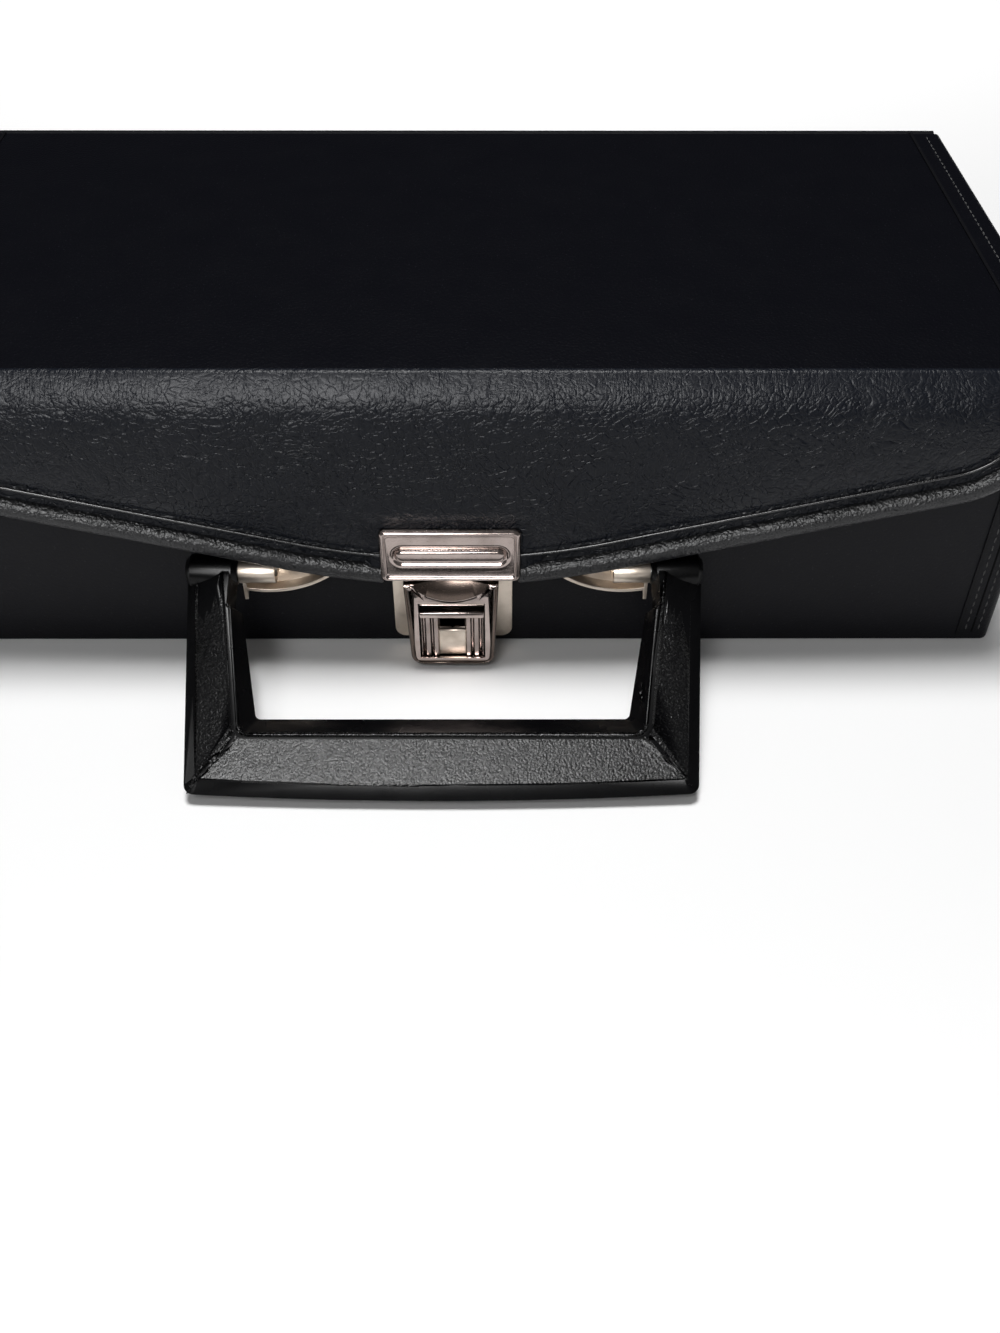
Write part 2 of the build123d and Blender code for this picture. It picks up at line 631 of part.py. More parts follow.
layer_low += FLAP_BOARD_T
with BuildPart() as flap_foam:
    flap_layer(layer_low, layer_low + FLAP_FOAM_T)
write(flap_foam, "flap_foam")

layer_low += FLAP_FOAM_T
with BuildPart() as flap_cover:
    flap_layer(layer_low, layer_low + FLAP_COVER_T)
write(flap_cover, "flap_cover")

# the stuffed roll follows the edge from beside the catch up to the fold, on both sides
roll_arc_r = FLAP_TIP_R - ROLL_R
roll_centre = FLAP_TIP_R - flap_drop
roll_start_x = CATCH_WIDTH / 2 + PARTING_GAP
roll_start_angle = asin(roll_start_x / roll_arc_r)
roll_mid_angle = (roll_start_angle + flank_angle) / 2
roll_corner_r = FLAP_CORNER_R - ROLL_R
roll_corner_mid = (flank_angle + radians(90)) / 2


def roll_point(angle):
    """A point of the roll's middle line on the arc at the flap's tip."""
    return (roll_arc_r * sin(angle), roll_centre - roll_arc_r * cos(angle))


def roll_corner_point(angle):
    """A point of the roll's middle line on the arc at the flap's corner."""
    return (corner_centre_x + roll_corner_r * sin(angle), -FLAP_SIDE - roll_corner_r * cos(angle))


with BuildPart() as flap_roll:
    with BuildLine(flap_plane) as roll_path:
        ThreePointArc(
            roll_point(roll_start_angle), roll_point(roll_mid_angle), roll_point(flank_angle))
        Line(roll_point(flank_angle), roll_corner_point(flank_angle))
        ThreePointArc(roll_corner_point(flank_angle), roll_corner_point(roll_corner_mid),
                      roll_corner_point(radians(90)))
        Line(roll_corner_point(radians(90)),
             (corner_centre_x + roll_corner_r, -fold_r - PARTING_GAP))
    with BuildSketch(Plane(origin=roll_path.line @ 0, z_dir=roll_path.line % 0)):
        Circle(ROLL_R)
    sweep()
    mirror(about=Plane.YZ)
write(flap_roll, "flap_roll")

with BuildPart() as flap_seam_cord:
    with BuildSketch(flap_plane.offset(fold_r)):
        flap_outline(FLAP_SEAM_IN)
        with BuildSketch(mode=Mode.SUBTRACT):
            flap_outline(FLAP_SEAM_IN + FLAP_SEAM_WIDTH)
        with Locations((0, 0)):
            Rectangle(CASE_WIDTH, 2 * (fold_r + PARTING_GAP), mode=Mode.SUBTRACT)
        with Locations((0, -flap_drop)):
            Rectangle(CATCH_WIDTH + 2 * PARTING_GAP, flap_drop, mode=Mode.SUBTRACT)
    extrude(amount=FLAP_SEAM_PROUD)
write(flap_seam_cord, "flap_seam_cord")

# ---------------------------------------------------------------- the catch
with BuildPart() as catch_plate:
    with BuildSketch(flap_plane.offset(fold_r)):
        with Locations((0, catch_middle)):
            RectangleRounded(CATCH_WIDTH, CATCH_HEIGHT, CATCH_CORNER_R)
    extrude(amount=CATCH_T)
    with BuildSketch(flap_plane.offset(fold_r + CATCH_T)):
        with Locations((0, catch_middle)):
            RectangleRounded(CATCH_WIDTH, CATCH_HEIGHT, CATCH_CORNER_R)
            Rectangle(CATCH_WIDTH - 2 * CATCH_RIM_WIDTH, CATCH_HEIGHT - 2 * CATCH_RIM_WIDTH,
                      mode=Mode.SUBTRACT)
            SlotOverall(CATCH_BEAD_LENGTH, CATCH_BEAD_HEIGHT)
            SlotOverall(CATCH_BEAD_LENGTH - 2 * CATCH_BEAD_WALL,
                        CATCH_BEAD_HEIGHT - 2 * CATCH_BEAD_WALL, mode=Mode.SUBTRACT)
    extrude(amount=CATCH_RIM_PROUD)
    with BuildSketch(flap_plane.offset(-fold_r - 2 * CATCH_BACK_T)):
        prong_profile()
    extrude(amount=flap_t + 2 * CATCH_BACK_T)
write(catch_plate, "catch_plate")

with BuildPart() as catch_back_plate:
    with BuildSketch(flap_plane.offset(-fold_r - CATCH_BACK_T)):
        with Locations((0, prong_y)):
            RectangleRounded(CATCH_BACK_WIDTH, CATCH_BACK_HEIGHT, CATCH_CORNER_R)
        prong_profile(Mode.SUBTRACT)
    extrude(amount=CATCH_BACK_T)
write(catch_back_plate, "catch_back_plate")

with BuildPart() as catch_staple:
    with BuildSketch(flap_plane.offset(fold_r - STAPLE_FOOT_T)):
        with Locations((0, staple_low + STAPLE_FOOT_HEIGHT / 2)):
            Rectangle(STAPLE_WIDTH, STAPLE_FOOT_HEIGHT)
    extrude(amount=STAPLE_FOOT_T)
    with BuildSketch(flap_plane.offset(fold_r - STAPLE_REACH)):
        with Locations((0, staple_low + STAPLE_T / 2)):
            Rectangle(STAPLE_WIDTH, STAPLE_T)
    extrude(amount=STAPLE_REACH)
    eye_middle_y = -half_d - bolt_middle_off
    with Locations((0, eye_middle_y, staple_low_z)):
        Box(STAPLE_EYE_WIDTH, STAPLE_EYE_DEPTH, 4 * STAPLE_T, mode=Mode.SUBTRACT)
write(catch_staple, "catch_staple")

# ---------------------------------------------------------------- the lock
lock_plate_middle_z = (lock_plate_low_z + lock_plate_top_z) / 2
with BuildPart() as lock_base_plate:
    with BuildSketch(front_plane):
        with Locations((0, lock_plate_middle_z)):
            RectangleRounded(LOCK_PLATE_WIDTH, lock_plate_top_z - lock_plate_low_z,
                             LOCK_PLATE_CORNER_R)
    extrude(amount=LOCK_PLATE_T)
    rivet_holes(lock_rivet_spots)
write(lock_base_plate, "lock_base_plate")

with BuildPart() as housing_hollow:
    with BuildSketch(front_plane.offset(LOCK_PLATE_T)) as hollow_sketch:
        housing_outline(HOUSING_WALL)
        fillet(hollow_sketch.vertices().sort_by(Axis.Y)[:2], HOUSING_CORNER_R - HOUSING_WALL)
    extrude(amount=HOUSING_DEPTH - LOCK_PLATE_T - HOUSING_WALL)
    scoop(SCOOP_SKIN)

with BuildPart() as lock_housing:
    with BuildSketch(front_plane.offset(LOCK_PLATE_T)) as housing_sketch:
        housing_outline(0)
        fillet(housing_sketch.vertices().sort_by(Axis.Y)[:2], HOUSING_CORNER_R)
    extrude(amount=HOUSING_DEPTH - LOCK_PLATE_T)
    front_edges = lock_housing.faces().sort_by(Axis.Y)[0].edges()
    fillet(front_edges, HOUSING_EDGE_R)
    scoop(0)
    add(housing_hollow.part, mode=Mode.SUBTRACT)
    with BuildSketch(front_plane.offset(HOUSING_DEPTH)):
        with Locations((0, window_middle_z)):
            Rectangle(WINDOW_WIDTH, WINDOW_HEIGHT)
    extrude(amount=-HOUSING_WALL, mode=Mode.SUBTRACT)
    with Locations((0, -half_d - bolt_middle_off, housing_top_z)):
        Box(BOLT_WIDTH + 2 * BOLT_GAP, BOLT_T + 2 * BOLT_GAP, 4 * HOUSING_WALL, mode=Mode.SUBTRACT)
write(lock_housing, "lock_housing")

with BuildPart() as lock_slider:
    with BuildSketch(front_plane.offset(SLIDER_BACK_OFF)):
        with Locations((0, (slider_plate_low_z + slider_plate_high_z) / 2)):
            RectangleRounded(2 * slider_plate_half_w, slider_plate_high_z - slider_plate_low_z,
                             SLIDER_PLATE_CORNER_R)
    extrude(amount=SLIDER_PLATE_T)
    plate_front = SLIDER_BACK_OFF + SLIDER_PLATE_T
    with BuildSketch(front_plane.offset(plate_front)):
        with Locations((0, (slider_low_z + slider_high_z) / 2)):
            Rectangle(2 * slider_half_w, slider_high_z - slider_low_z)
    extrude(amount=SLIDER_FACE_OFF - plate_front)
    with BuildSketch(front_plane.offset(SLIDER_FACE_OFF)):
        with Locations((0, slider_high_z - SLIDER_LIP_T / 2)):
            Rectangle(2 * slider_half_w, SLIDER_LIP_T)
    extrude(amount=SLIDER_LIP_OFF - SLIDER_FACE_OFF)
    with BuildSketch(front_plane.offset(SLIDER_FACE_OFF)):
        with Locations((0, (pocket_low_z + pocket_high_z) / 2)):
            Rectangle(SLIDER_POCKET_WIDTH, SLIDER_POCKET_HEIGHT)
    extrude(amount=plate_front - SLIDER_FACE_OFF, mode=Mode.SUBTRACT)
    with BuildSketch(front_plane.offset(SLIDER_FACE_OFF)):
        with Locations((0, (slider_low_z + pocket_low_z) / 2)):
            Rectangle(SLIDER_POCKET_WIDTH, pocket_low_z - slider_low_z)
    extrude(amount=SLIDER_RAMP_OFF - SLIDER_FACE_OFF, mode=Mode.SUBTRACT)
    with BuildSketch(front_plane.offset(SLIDER_FACE_OFF)):
        for groove_x in SLIDER_GROOVES:
            with Locations((0, (slider_low_z + pocket_high_z) / 2)):
                with GridLocations(2 * groove_x, 1, 2, 1):
                    Rectangle(SLIDER_GROOVE_WIDTH, pocket_high_z - slider_low_z)
    extrude(amount=SLIDER_GROOVE_OFF - SLIDER_FACE_OFF, mode=Mode.SUBTRACT)
    with BuildSketch(front_plane.offset(SLIDER_BACK_OFF)):
        with Locations((0, slider_rivet_z)):
            Circle(SLIDER_RIVET_R)
    extrude(amount=SLIDER_PLATE_T, mode=Mode.SUBTRACT)
write(lock_slider, "lock_slider")

with BuildPart() as latch_bolt:
    with BuildSketch(front_plane.offset(BOLT_BACK_OFF)):
        with Locations((0, (bolt_low_z + bolt_high_z) / 2)):
            Rectangle(BOLT_WIDTH, BOLT_HEIGHT)
        with Locations((0, slider_rivet_z)):
            Circle(SLIDER_RIVET_R, mode=Mode.SUBTRACT)
    extrude(amount=BOLT_T)
write(latch_bolt, "latch_bolt")

with BuildPart() as slider_rivet:
    with BuildSketch(front_plane.offset(BOLT_BACK_OFF)):
        with Locations((0, slider_rivet_z)):
            Circle(SLIDER_RIVET_R)
    extrude(amount=SLIDER_BACK_OFF + SLIDER_PLATE_T - BOLT_BACK_OFF)
write(slider_rivet, "slider_rivet")

# a bowed leaf on the base plate that rubs on the bolt's back and holds the slider where it is
detent_foot_y = -half_d - LOCK_PLATE_T
detent_crown_y = -half_d - BOLT_BACK_OFF + DETENT_GAP
detent_z = housing_top_z - HOUSING_WALL - DETENT_TOP_GAP - DETENT_SPAN / 2
with BuildPart() as detent_spring:
    with BuildSketch(Plane.YZ.offset(-DETENT_WIDTH / 2)):
        with BuildLine():
            ThreePointArc((detent_foot_y, detent_z - DETENT_SPAN / 2), (detent_crown_y, detent_z),
                          (detent_foot_y, detent_z + DETENT_SPAN / 2))
            Line((detent_foot_y, detent_z + DETENT_SPAN / 2),
                 (detent_foot_y, detent_z + DETENT_SPAN / 2 - DETENT_T))
            ThreePointArc((detent_foot_y, detent_z + DETENT_SPAN / 2 - DETENT_T),
                          (detent_crown_y + DETENT_T, detent_z),
                          (detent_foot_y, detent_z - DETENT_SPAN / 2 + DETENT_T))
            Line((detent_foot_y, detent_z - DETENT_SPAN / 2 + DETENT_T),
                 (detent_foot_y, detent_z - DETENT_SPAN / 2))
        make_face()
    extrude(amount=DETENT_WIDTH)
write(detent_spring, "detent_spring")

lock_back_low_z = housing_low_z + LOCK_RIVET_INNER_UP - LOCK_BACK_MARGIN
lock_back_high_z = housing_top_z + LOCK_RIVET_ABOVE + LOCK_BACK_MARGIN
with BuildPart() as lock_back_plate:
    with BuildSketch(inside_plane.offset(-BACK_PLATE_T)):
        with Locations((0, (lock_back_low_z + lock_back_high_z) / 2)):
            RectangleRounded(2 * (LOCK_RIVET_X + LOCK_BACK_MARGIN),
                             lock_back_high_z - lock_back_low_z, LOCK_PLATE_CORNER_R)
    extrude(amount=BACK_PLATE_T)
    rivet_holes(lock_rivet_spots)
write(lock_back_plate, "lock_back_plate")

with BuildPart() as lock_rivets:
    rivets(lock_rivet_spots, LOCK_PLATE_T)
write(lock_rivets, "lock_rivets")

# ---------------------------------------------------------------- the handle's brackets
bracket_top_z = pivot_z + BRACKET_RISE


def bracket_outline():
    """The right bracket's D-shaped plate, from the handle's middle."""
    with BuildLine() as edge:
        Polyline((bracket_outer_x, pivot_z - BRACKET_OUTER_DROP), (bracket_outer_x, bracket_top_z),
                 (bracket_inner_x, bracket_top_z), (bracket_inner_x, pivot_z - BRACKET_INNER_DROP))
        ThreePointArc((bracket_inner_x, pivot_z - BRACKET_INNER_DROP),
                      (bracket_outer_x - BRACKET_LOW_IN, pivot_z - BRACKET_DROP),
                      (bracket_outer_x, pivot_z - BRACKET_OUTER_DROP))
    make_face(edge.edges())


barrel_plane = handle_middle.offset(barrel_inner_x)
fin_low_z = pivot_z - BRACKET_OUTER_DROP
with BuildPart() as right_bracket:
    with BuildSketch(bracket_plane):
        bracket_outline()
    extrude(amount=BRACKET_T)
    with BuildSketch(bracket_plane) as rim:
        bracket_outline()
        offset(amount=-BRACKET_T, mode=Mode.SUBTRACT)
        with Locations((barrel_inner_x, pivot_z - BRACKET_RIM_TOP + BRACKET_RISE)):
            Rectangle(CASE_WIDTH, 2 * BRACKET_RISE, mode=Mode.SUBTRACT)
    extrude(amount=BRACKET_RIM_OFF)
    with BuildSketch(handle_middle.offset(bracket_outer_x)):
        with BuildLine():
            Polyline((-half_d, fin_low_z), (-half_d - BRACKET_RIM_OFF, fin_low_z),
                     (-half_d - BRACKET_RIM_OFF, pivot_z - BRACKET_FIN_DROP), close=True)
        make_face()
    extrude(amount=-BRACKET_T)
    with BuildSketch(barrel_plane):
        with Locations((pivot_y, pivot_z)):
            Circle(BARREL_R)
        with Locations(((pivot_y - half_d) / 2, pivot_z)):
            Rectangle(PIVOT_OFF, 2 * BARREL_R)
    extrude(amount=BARREL_LENGTH)
    with BuildSketch(barrel_plane):
        with Locations((pivot_y, pivot_z)):
            Circle(PIN_R + PIN_GAP)
    extrude(amount=BARREL_LENGTH, mode=Mode.SUBTRACT)
    rivet_holes(bracket_rivet_spots[2:])
write(right_bracket, "right_bracket")

with BuildPart() as left_bracket:
    mirror(right_bracket.part, about=handle_middle)
write(left_bracket, "left_bracket")

bracket_back_middle = bracket_outer_x - sum(BRACKET_RIVET_IN) / 2
bracket_back_width = BRACKET_RIVET_IN[0] - BRACKET_RIVET_IN[1] + 2 * BRACKET_BACK_MARGIN
with BuildPart() as bracket_back_plates:
    with BuildSketch(inside_plane.offset(-BACK_PLATE_T)):
        with Locations((HANDLE_OFFSET, pivot_z + BRACKET_RIVET_UP)):
            with GridLocations(2 * bracket_back_middle, 1, 2, 1):
                RectangleRounded(bracket_back_width, 2 * BRACKET_BACK_MARGIN, BRACKET_CORNER_R)
    extrude(amount=BACK_PLATE_T)
    rivet_holes(bracket_rivet_spots)
write(bracket_back_plates, "bracket_back_plates")

with BuildPart() as bracket_rivets:
    rivets(bracket_rivet_spots, BRACKET_T)
write(bracket_rivets, "bracket_rivets")

# ---------------------------------------------------------------- the handle
under_bevels = ((HANDLE_UNDER_BEVEL,) * 2, (HANDLE_UNDER_BEVEL,) * 2, HANDLE_UNDER_BEVEL,
                HANDLE_UNDER_BEVEL, HANDLE_BOW)
no_bevels = ((0, 0), (0, 0), 0, 0, HANDLE_BOW)

# the sloping faces rise from an edge above the outer bevel to a ridge round the window
edge_share = HANDLE_EDGE_UP / (HANDLE_T / 2)
edge_bevels = ((HANDLE_EDGE_OUTER, HANDLE_EDGE_OUTER),
               (edge_share * HANDLE_RIDGE_LEG, edge_share * HANDLE_RIDGE_CORNER),
               HANDLE_EDGE_TIP, edge_share * HANDLE_RIDGE_HEEL, HANDLE_BOW)
ridge_root = HANDLE_LEG_WIDTH - HANDLE_RIDGE_LEG - HANDLE_RIDGE_ROOT
ridge_grip = HANDLE_CORNER_WIDTH - HANDLE_RIDGE_CORNER - HANDLE_RIDGE_WIDTH
ridge_tip = HANDLE_GRIP_DEPTH - HANDLE_RIDGE_HEEL - HANDLE_RIDGE_WIDTH
ridge_bevels = ((ridge_root, ridge_grip - HANDLE_RIDGE_WIDTH), (HANDLE_RIDGE_LEG, HANDLE_RIDGE_CORNER),
                ridge_tip, HANDLE_RIDGE_HEEL, HANDLE_RIDGE_BOW)

with BuildPart() as handle_ear:
    with BuildSketch(handle_middle.offset(leg_inner_x)):
        with Locations((pivot_y, pivot_z)):
            Circle(HANDLE_EAR_R)
    extrude(amount=HANDLE_LEG_WIDTH)
    chamfer(handle_ear.edges().filter_by(GeomType.CIRCLE), HANDLE_EAR_CHAMFER)

with BuildPart() as handle:
    handle_half((-HANDLE_T / 2, under_bevels, HANDLE_INNER_R, HANDLE_UNDER_R),
                (0, no_bevels, HANDLE_INNER_R, HANDLE_OUTER_R))
    handle_half((0, no_bevels, HANDLE_INNER_R, HANDLE_OUTER_R),
                (HANDLE_EDGE_UP, edge_bevels, HANDLE_INNER_R, HANDLE_EDGE_R),
                (HANDLE_T / 2, ridge_bevels, HANDLE_RIDGE_R, HANDLE_RIDGE_R + HANDLE_RIDGE_WIDTH))
    add(handle_ear.part)
    mirror(handle_ear.part, about=handle_middle)
    for side in (-1, 1):
        pin_middle = HANDLE_OFFSET + side * (leg_inner_x + PIN_IN_HANDLE / 2)
        with Locations(Location((pin_middle, pivot_y, pivot_z), (0, 90, 0))):
            Cylinder(PIN_R, PIN_IN_HANDLE, mode=Mode.SUBTRACT)
write(handle, "handle")

with BuildPart() as handle_pins:
    pin_inner_x = bracket_outer_x - PIN_IN_BARREL
    pin_outer_x = leg_inner_x + PIN_IN_HANDLE
    for side in (-1, 1):
        pin_middle = HANDLE_OFFSET + side * (pin_inner_x + pin_outer_x) / 2
        with Locations(Location((pin_middle, pivot_y, pivot_z), (0, 90, 0))):
            Cylinder(PIN_R, pin_outer_x - pin_inner_x)
write(handle_pins, "handle_pins")
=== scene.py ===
"""Cassette carrying case: vinyl skins over board, a padded flap with a stuffed edge, stitched
borders, a plated slide lock and a spark-textured bail handle.

Metres, in the frame of the solids: +Z is up, the front wall faces -Y and +X is to the right.
"""
import json
import logging
import math
from collections.abc import Callable, Iterable, Iterator, Sequence
from contextlib import contextmanager
from dataclasses import dataclass, field
from enum import Enum

import bmesh
import bpy
from mathutils import Matrix, Vector, noise

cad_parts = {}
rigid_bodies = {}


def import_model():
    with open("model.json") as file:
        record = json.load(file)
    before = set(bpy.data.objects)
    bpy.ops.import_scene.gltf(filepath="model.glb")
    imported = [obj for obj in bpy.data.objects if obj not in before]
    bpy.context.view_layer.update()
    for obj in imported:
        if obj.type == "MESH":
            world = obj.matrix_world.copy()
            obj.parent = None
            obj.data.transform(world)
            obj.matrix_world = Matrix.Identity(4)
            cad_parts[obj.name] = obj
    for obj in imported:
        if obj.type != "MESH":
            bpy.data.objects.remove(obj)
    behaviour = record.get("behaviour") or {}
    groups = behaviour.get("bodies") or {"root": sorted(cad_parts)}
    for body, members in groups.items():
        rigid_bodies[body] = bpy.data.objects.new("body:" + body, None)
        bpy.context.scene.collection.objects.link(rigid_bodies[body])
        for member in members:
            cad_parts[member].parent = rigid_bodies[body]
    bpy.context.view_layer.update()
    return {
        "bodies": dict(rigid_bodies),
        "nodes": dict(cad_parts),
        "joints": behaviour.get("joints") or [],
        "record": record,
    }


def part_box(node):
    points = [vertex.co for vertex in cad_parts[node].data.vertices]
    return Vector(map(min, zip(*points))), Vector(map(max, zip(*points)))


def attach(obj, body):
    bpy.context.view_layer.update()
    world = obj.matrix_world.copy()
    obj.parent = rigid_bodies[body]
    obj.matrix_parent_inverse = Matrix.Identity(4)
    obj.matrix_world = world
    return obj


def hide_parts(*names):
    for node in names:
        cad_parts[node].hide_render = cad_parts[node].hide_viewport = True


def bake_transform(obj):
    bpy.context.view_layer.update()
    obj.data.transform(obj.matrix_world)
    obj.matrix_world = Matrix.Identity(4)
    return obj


MM = 0.001
MERGE = 0.004 * MM  # points nearer than this are one
log = logging.getLogger("cassette_case")

Mesh = bpy.types.Object
Socket = bpy.types.NodeSocket
Colour = tuple[float, float, float]


class Body(Enum):
    """The bodies that pieces ride on."""

    CASE = "case_body"
    LID = "lid"
    FLAP = "flap"
    LOCK = "lock_slide"
    HANDLE = "handle"


class Slot(Enum):
    """The record's material slots."""

    VINYL = "vinyl"
    CORD = "cord"
    PADDING = "padding"
    PLATED = "plated_steel"
    HANDLE = "handle"


# ---------------------------------------------------------------- hand tools
def clear_selection() -> None:
    """Leave nothing selected, with no object active."""
    bpy.ops.object.select_all(action="DESELECT")
    bpy.context.view_layer.objects.active = None


def pick(*pieces: Mesh) -> None:
    """Select these pieces and nothing else, with the first one active.

    Args:
        pieces: The objects to select.
    """
    clear_selection()
    for piece in pieces:
        piece.select_set(True)
    bpy.context.view_layer.objects.active = pieces[0]


@contextmanager
def editing(piece: Mesh) -> Iterator[bmesh.types.BMesh]:
    """Open a piece in edit mode and hand over its mesh.

    Args:
        piece: The object to edit, which becomes the active one.

    Yields:
        The edit mesh, which is written back at the end.
    """
    pick(piece)
    bpy.ops.object.mode_set(mode="EDIT")
    bpy.ops.mesh.select_mode(type="VERT")
    yield bmesh.from_edit_mesh(piece.data)
    bpy.ops.object.mode_set(mode="OBJECT")


def apply_modifiers(piece: Mesh) -> None:
    """Apply every modifier of a piece in its order.

    Args:
        piece: The object.
    """
    pick(piece)
    for modifier in list(piece.modifiers):
        bpy.ops.object.modifier_apply(modifier=modifier.name)


def settle(piece: Mesh, smooth_angle: float = 35.0) -> Mesh:
    """Bring a finished piece's object to the origin and smooth its shading.

    Args:
        piece: The finished piece.
        smooth_angle: Edges sharper than this many degrees stay hard.

    Returns:
        The same piece.
    """
    apply_modifiers(piece)
    bpy.ops.object.transform_apply(location=True, rotation=True, scale=True)
    bpy.ops.object.shade_smooth_by_angle(angle=math.radians(smooth_angle))
    return piece


def fit(piece: Mesh, body: Body, slot: Slot, material: bpy.types.Material, *nodes: str) -> Mesh:
    """Dress a piece, let it ride on its body and let it stand for its nodes.

    Args:
        piece: The finished piece.
        body: The body that it rides on.
        slot: The record's slot for the piece; not used.
        material: Its finish, unless it already has one.
        nodes: The nodes that it replaces.

    Returns:
        The same piece.
    """
    if not piece.data.materials:
        piece.data.materials.append(material)
    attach(piece, body.value)
    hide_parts(*nodes)
    log.info("%s: %d faces", piece.name, len(piece.data.polygons))
    return piece


def join(name: str, pieces: Sequence[Mesh]) -> Mesh:
    """Make one object of several pieces.

    Args:
        name: The name of the joined object.
        pieces: The objects, of which the first one is kept.

    Returns:
        The joined object.
    """
    pick(*pieces)
    bpy.ops.object.join()
    pieces[0].name = name
    return pieces[0]


def sew(piece: Mesh) -> None:
    """Merge the doubled points along a piece's seams and turn its faces outwards.

    Args:
        piece: The object.
    """
    with editing(piece):
        bpy.ops.mesh.select_all(action="SELECT")
        bpy.ops.mesh.remove_doubles(threshold=MERGE)
        bpy.ops.mesh.select_all(action="SELECT")
        bpy.ops.mesh.normals_make_consistent(inside=False)


def cube(name: str) -> Mesh:
    """Add a cube of unit size, to be brought to its size and place.

    Args:
        name: The object's name.

    Returns:
        The cube.
    """
    clear_selection()
    bpy.ops.mesh.primitive_cube_add(size=1.0)
    block = bpy.context.object
    block.name = name
    return block


def clamped(share: float) -> float:
    """A share held between 0 and 1."""
    return max(0.0, min(1.0, share))


def crease_line(spot: Vector, sharpness: float) -> float:
    """How deep a place lies in a crease, from 0 beside it to 1 on its line.

    Args:
        spot: The place in the noise.
        sharpness: How narrow the crease is.

    Returns:
        The depth.
    """
    return max(1 - abs(noise.noise(spot)) * sharpness, 0.0) ** 2


def rounded_ring(width: float, height: float, radius: float,
                 corner_points: int = 10) -> list[Vector]:
    """The points of a rounded rectangle, equally many on each corner.

    Args:
        width: Size across.
        height: Size up.
        radius: Corner radius.
        corner_points: Points on each corner's arc.

    Returns:
        Points round the middle, counter-clockwise, in the XY plane.
    """
    ring = []
    for corner, (side, rise) in enumerate(((1, 1), (-1, 1), (-1, -1), (1, -1))):
        for step in range(corner_points):
            angle = math.radians(90) * (corner + step / (corner_points - 1))
            ring.append(Vector((
                side * (width / 2 - radius) + radius * math.cos(angle),
                rise * (height / 2 - radius) + radius * math.sin(angle), 0)))
    return ring


def ring_form(name: str, rings: Sequence[Sequence[Vector]], frame: Matrix) -> Mesh:
    """A closed form, extruded ring by ring from a filled polygon.

    Args:
        name: The object's name.
        rings: Loops of equally many points, from the back to the front.
        frame: Where the rings' own frame stands.

    Returns:
        The form, in place.
    """
    clear_selection()
    bpy.ops.mesh.primitive_circle_add(vertices=len(rings[0]), radius=1.0, fill_type="NGON")
    form = bpy.context.object
    form.name = name
    with editing(form) as mesh:
        current = sorted(mesh.verts, key=lambda vert: vert.index)
        for vert, point in zip(current, rings[0]):
            vert.co = frame @ point
        for ring in rings[1:]:
            places = {tuple(round(c, 9) for c in vert.co): n for n, vert in enumerate(current)}
            bpy.ops.mesh.extrude_region()
            fresh = [vert for vert in mesh.verts if vert.select]
            current = sorted(fresh, key=lambda vert: places[tuple(round(c, 9) for c in vert.co)])
            for vert, point in zip(current, ring):
                vert.co = frame @ point
        bpy.ops.mesh.select_all(action="SELECT")
        bpy.ops.mesh.normals_make_consistent(inside=False)
    return form


def softened_copy(frame: dict, node: str, name: str, bevel: float, segments: int = 2,
                  angle: float = 32.0) -> Mesh:
    """A merged copy of a node whose edges are broken by a small round bevel.

    Args:
        frame: The loaded frame.
        node: The node to copy.
        name: The copy's name.
        bevel: Width of the bevel.
        segments: Steps across the bevel.
        angle: Edges sharper than this many degrees are bevelled.

    Returns:
        The copy, not yet riding on a body.
    """
    source = frame["nodes"][node]
    piece = bpy.data.objects.new(name, source.data.copy())
    piece.data.materials.clear()
    bpy.context.scene.collection.objects.link(piece)
    with editing(piece):
        bpy.ops.mesh.select_all(action="SELECT")
        bpy.ops.mesh.remove_doubles(threshold=0.002 * MM)
        bpy.ops.mesh.dissolve_limited(angle_limit=math.radians(0.6))
    cut = piece.modifiers.new("edges", "BEVEL")
    cut.width = bevel
    cut.segments = segments
    cut.limit_method = "ANGLE"
    cut.angle_limit = math.radians(angle)
    return settle(piece, 40.0)


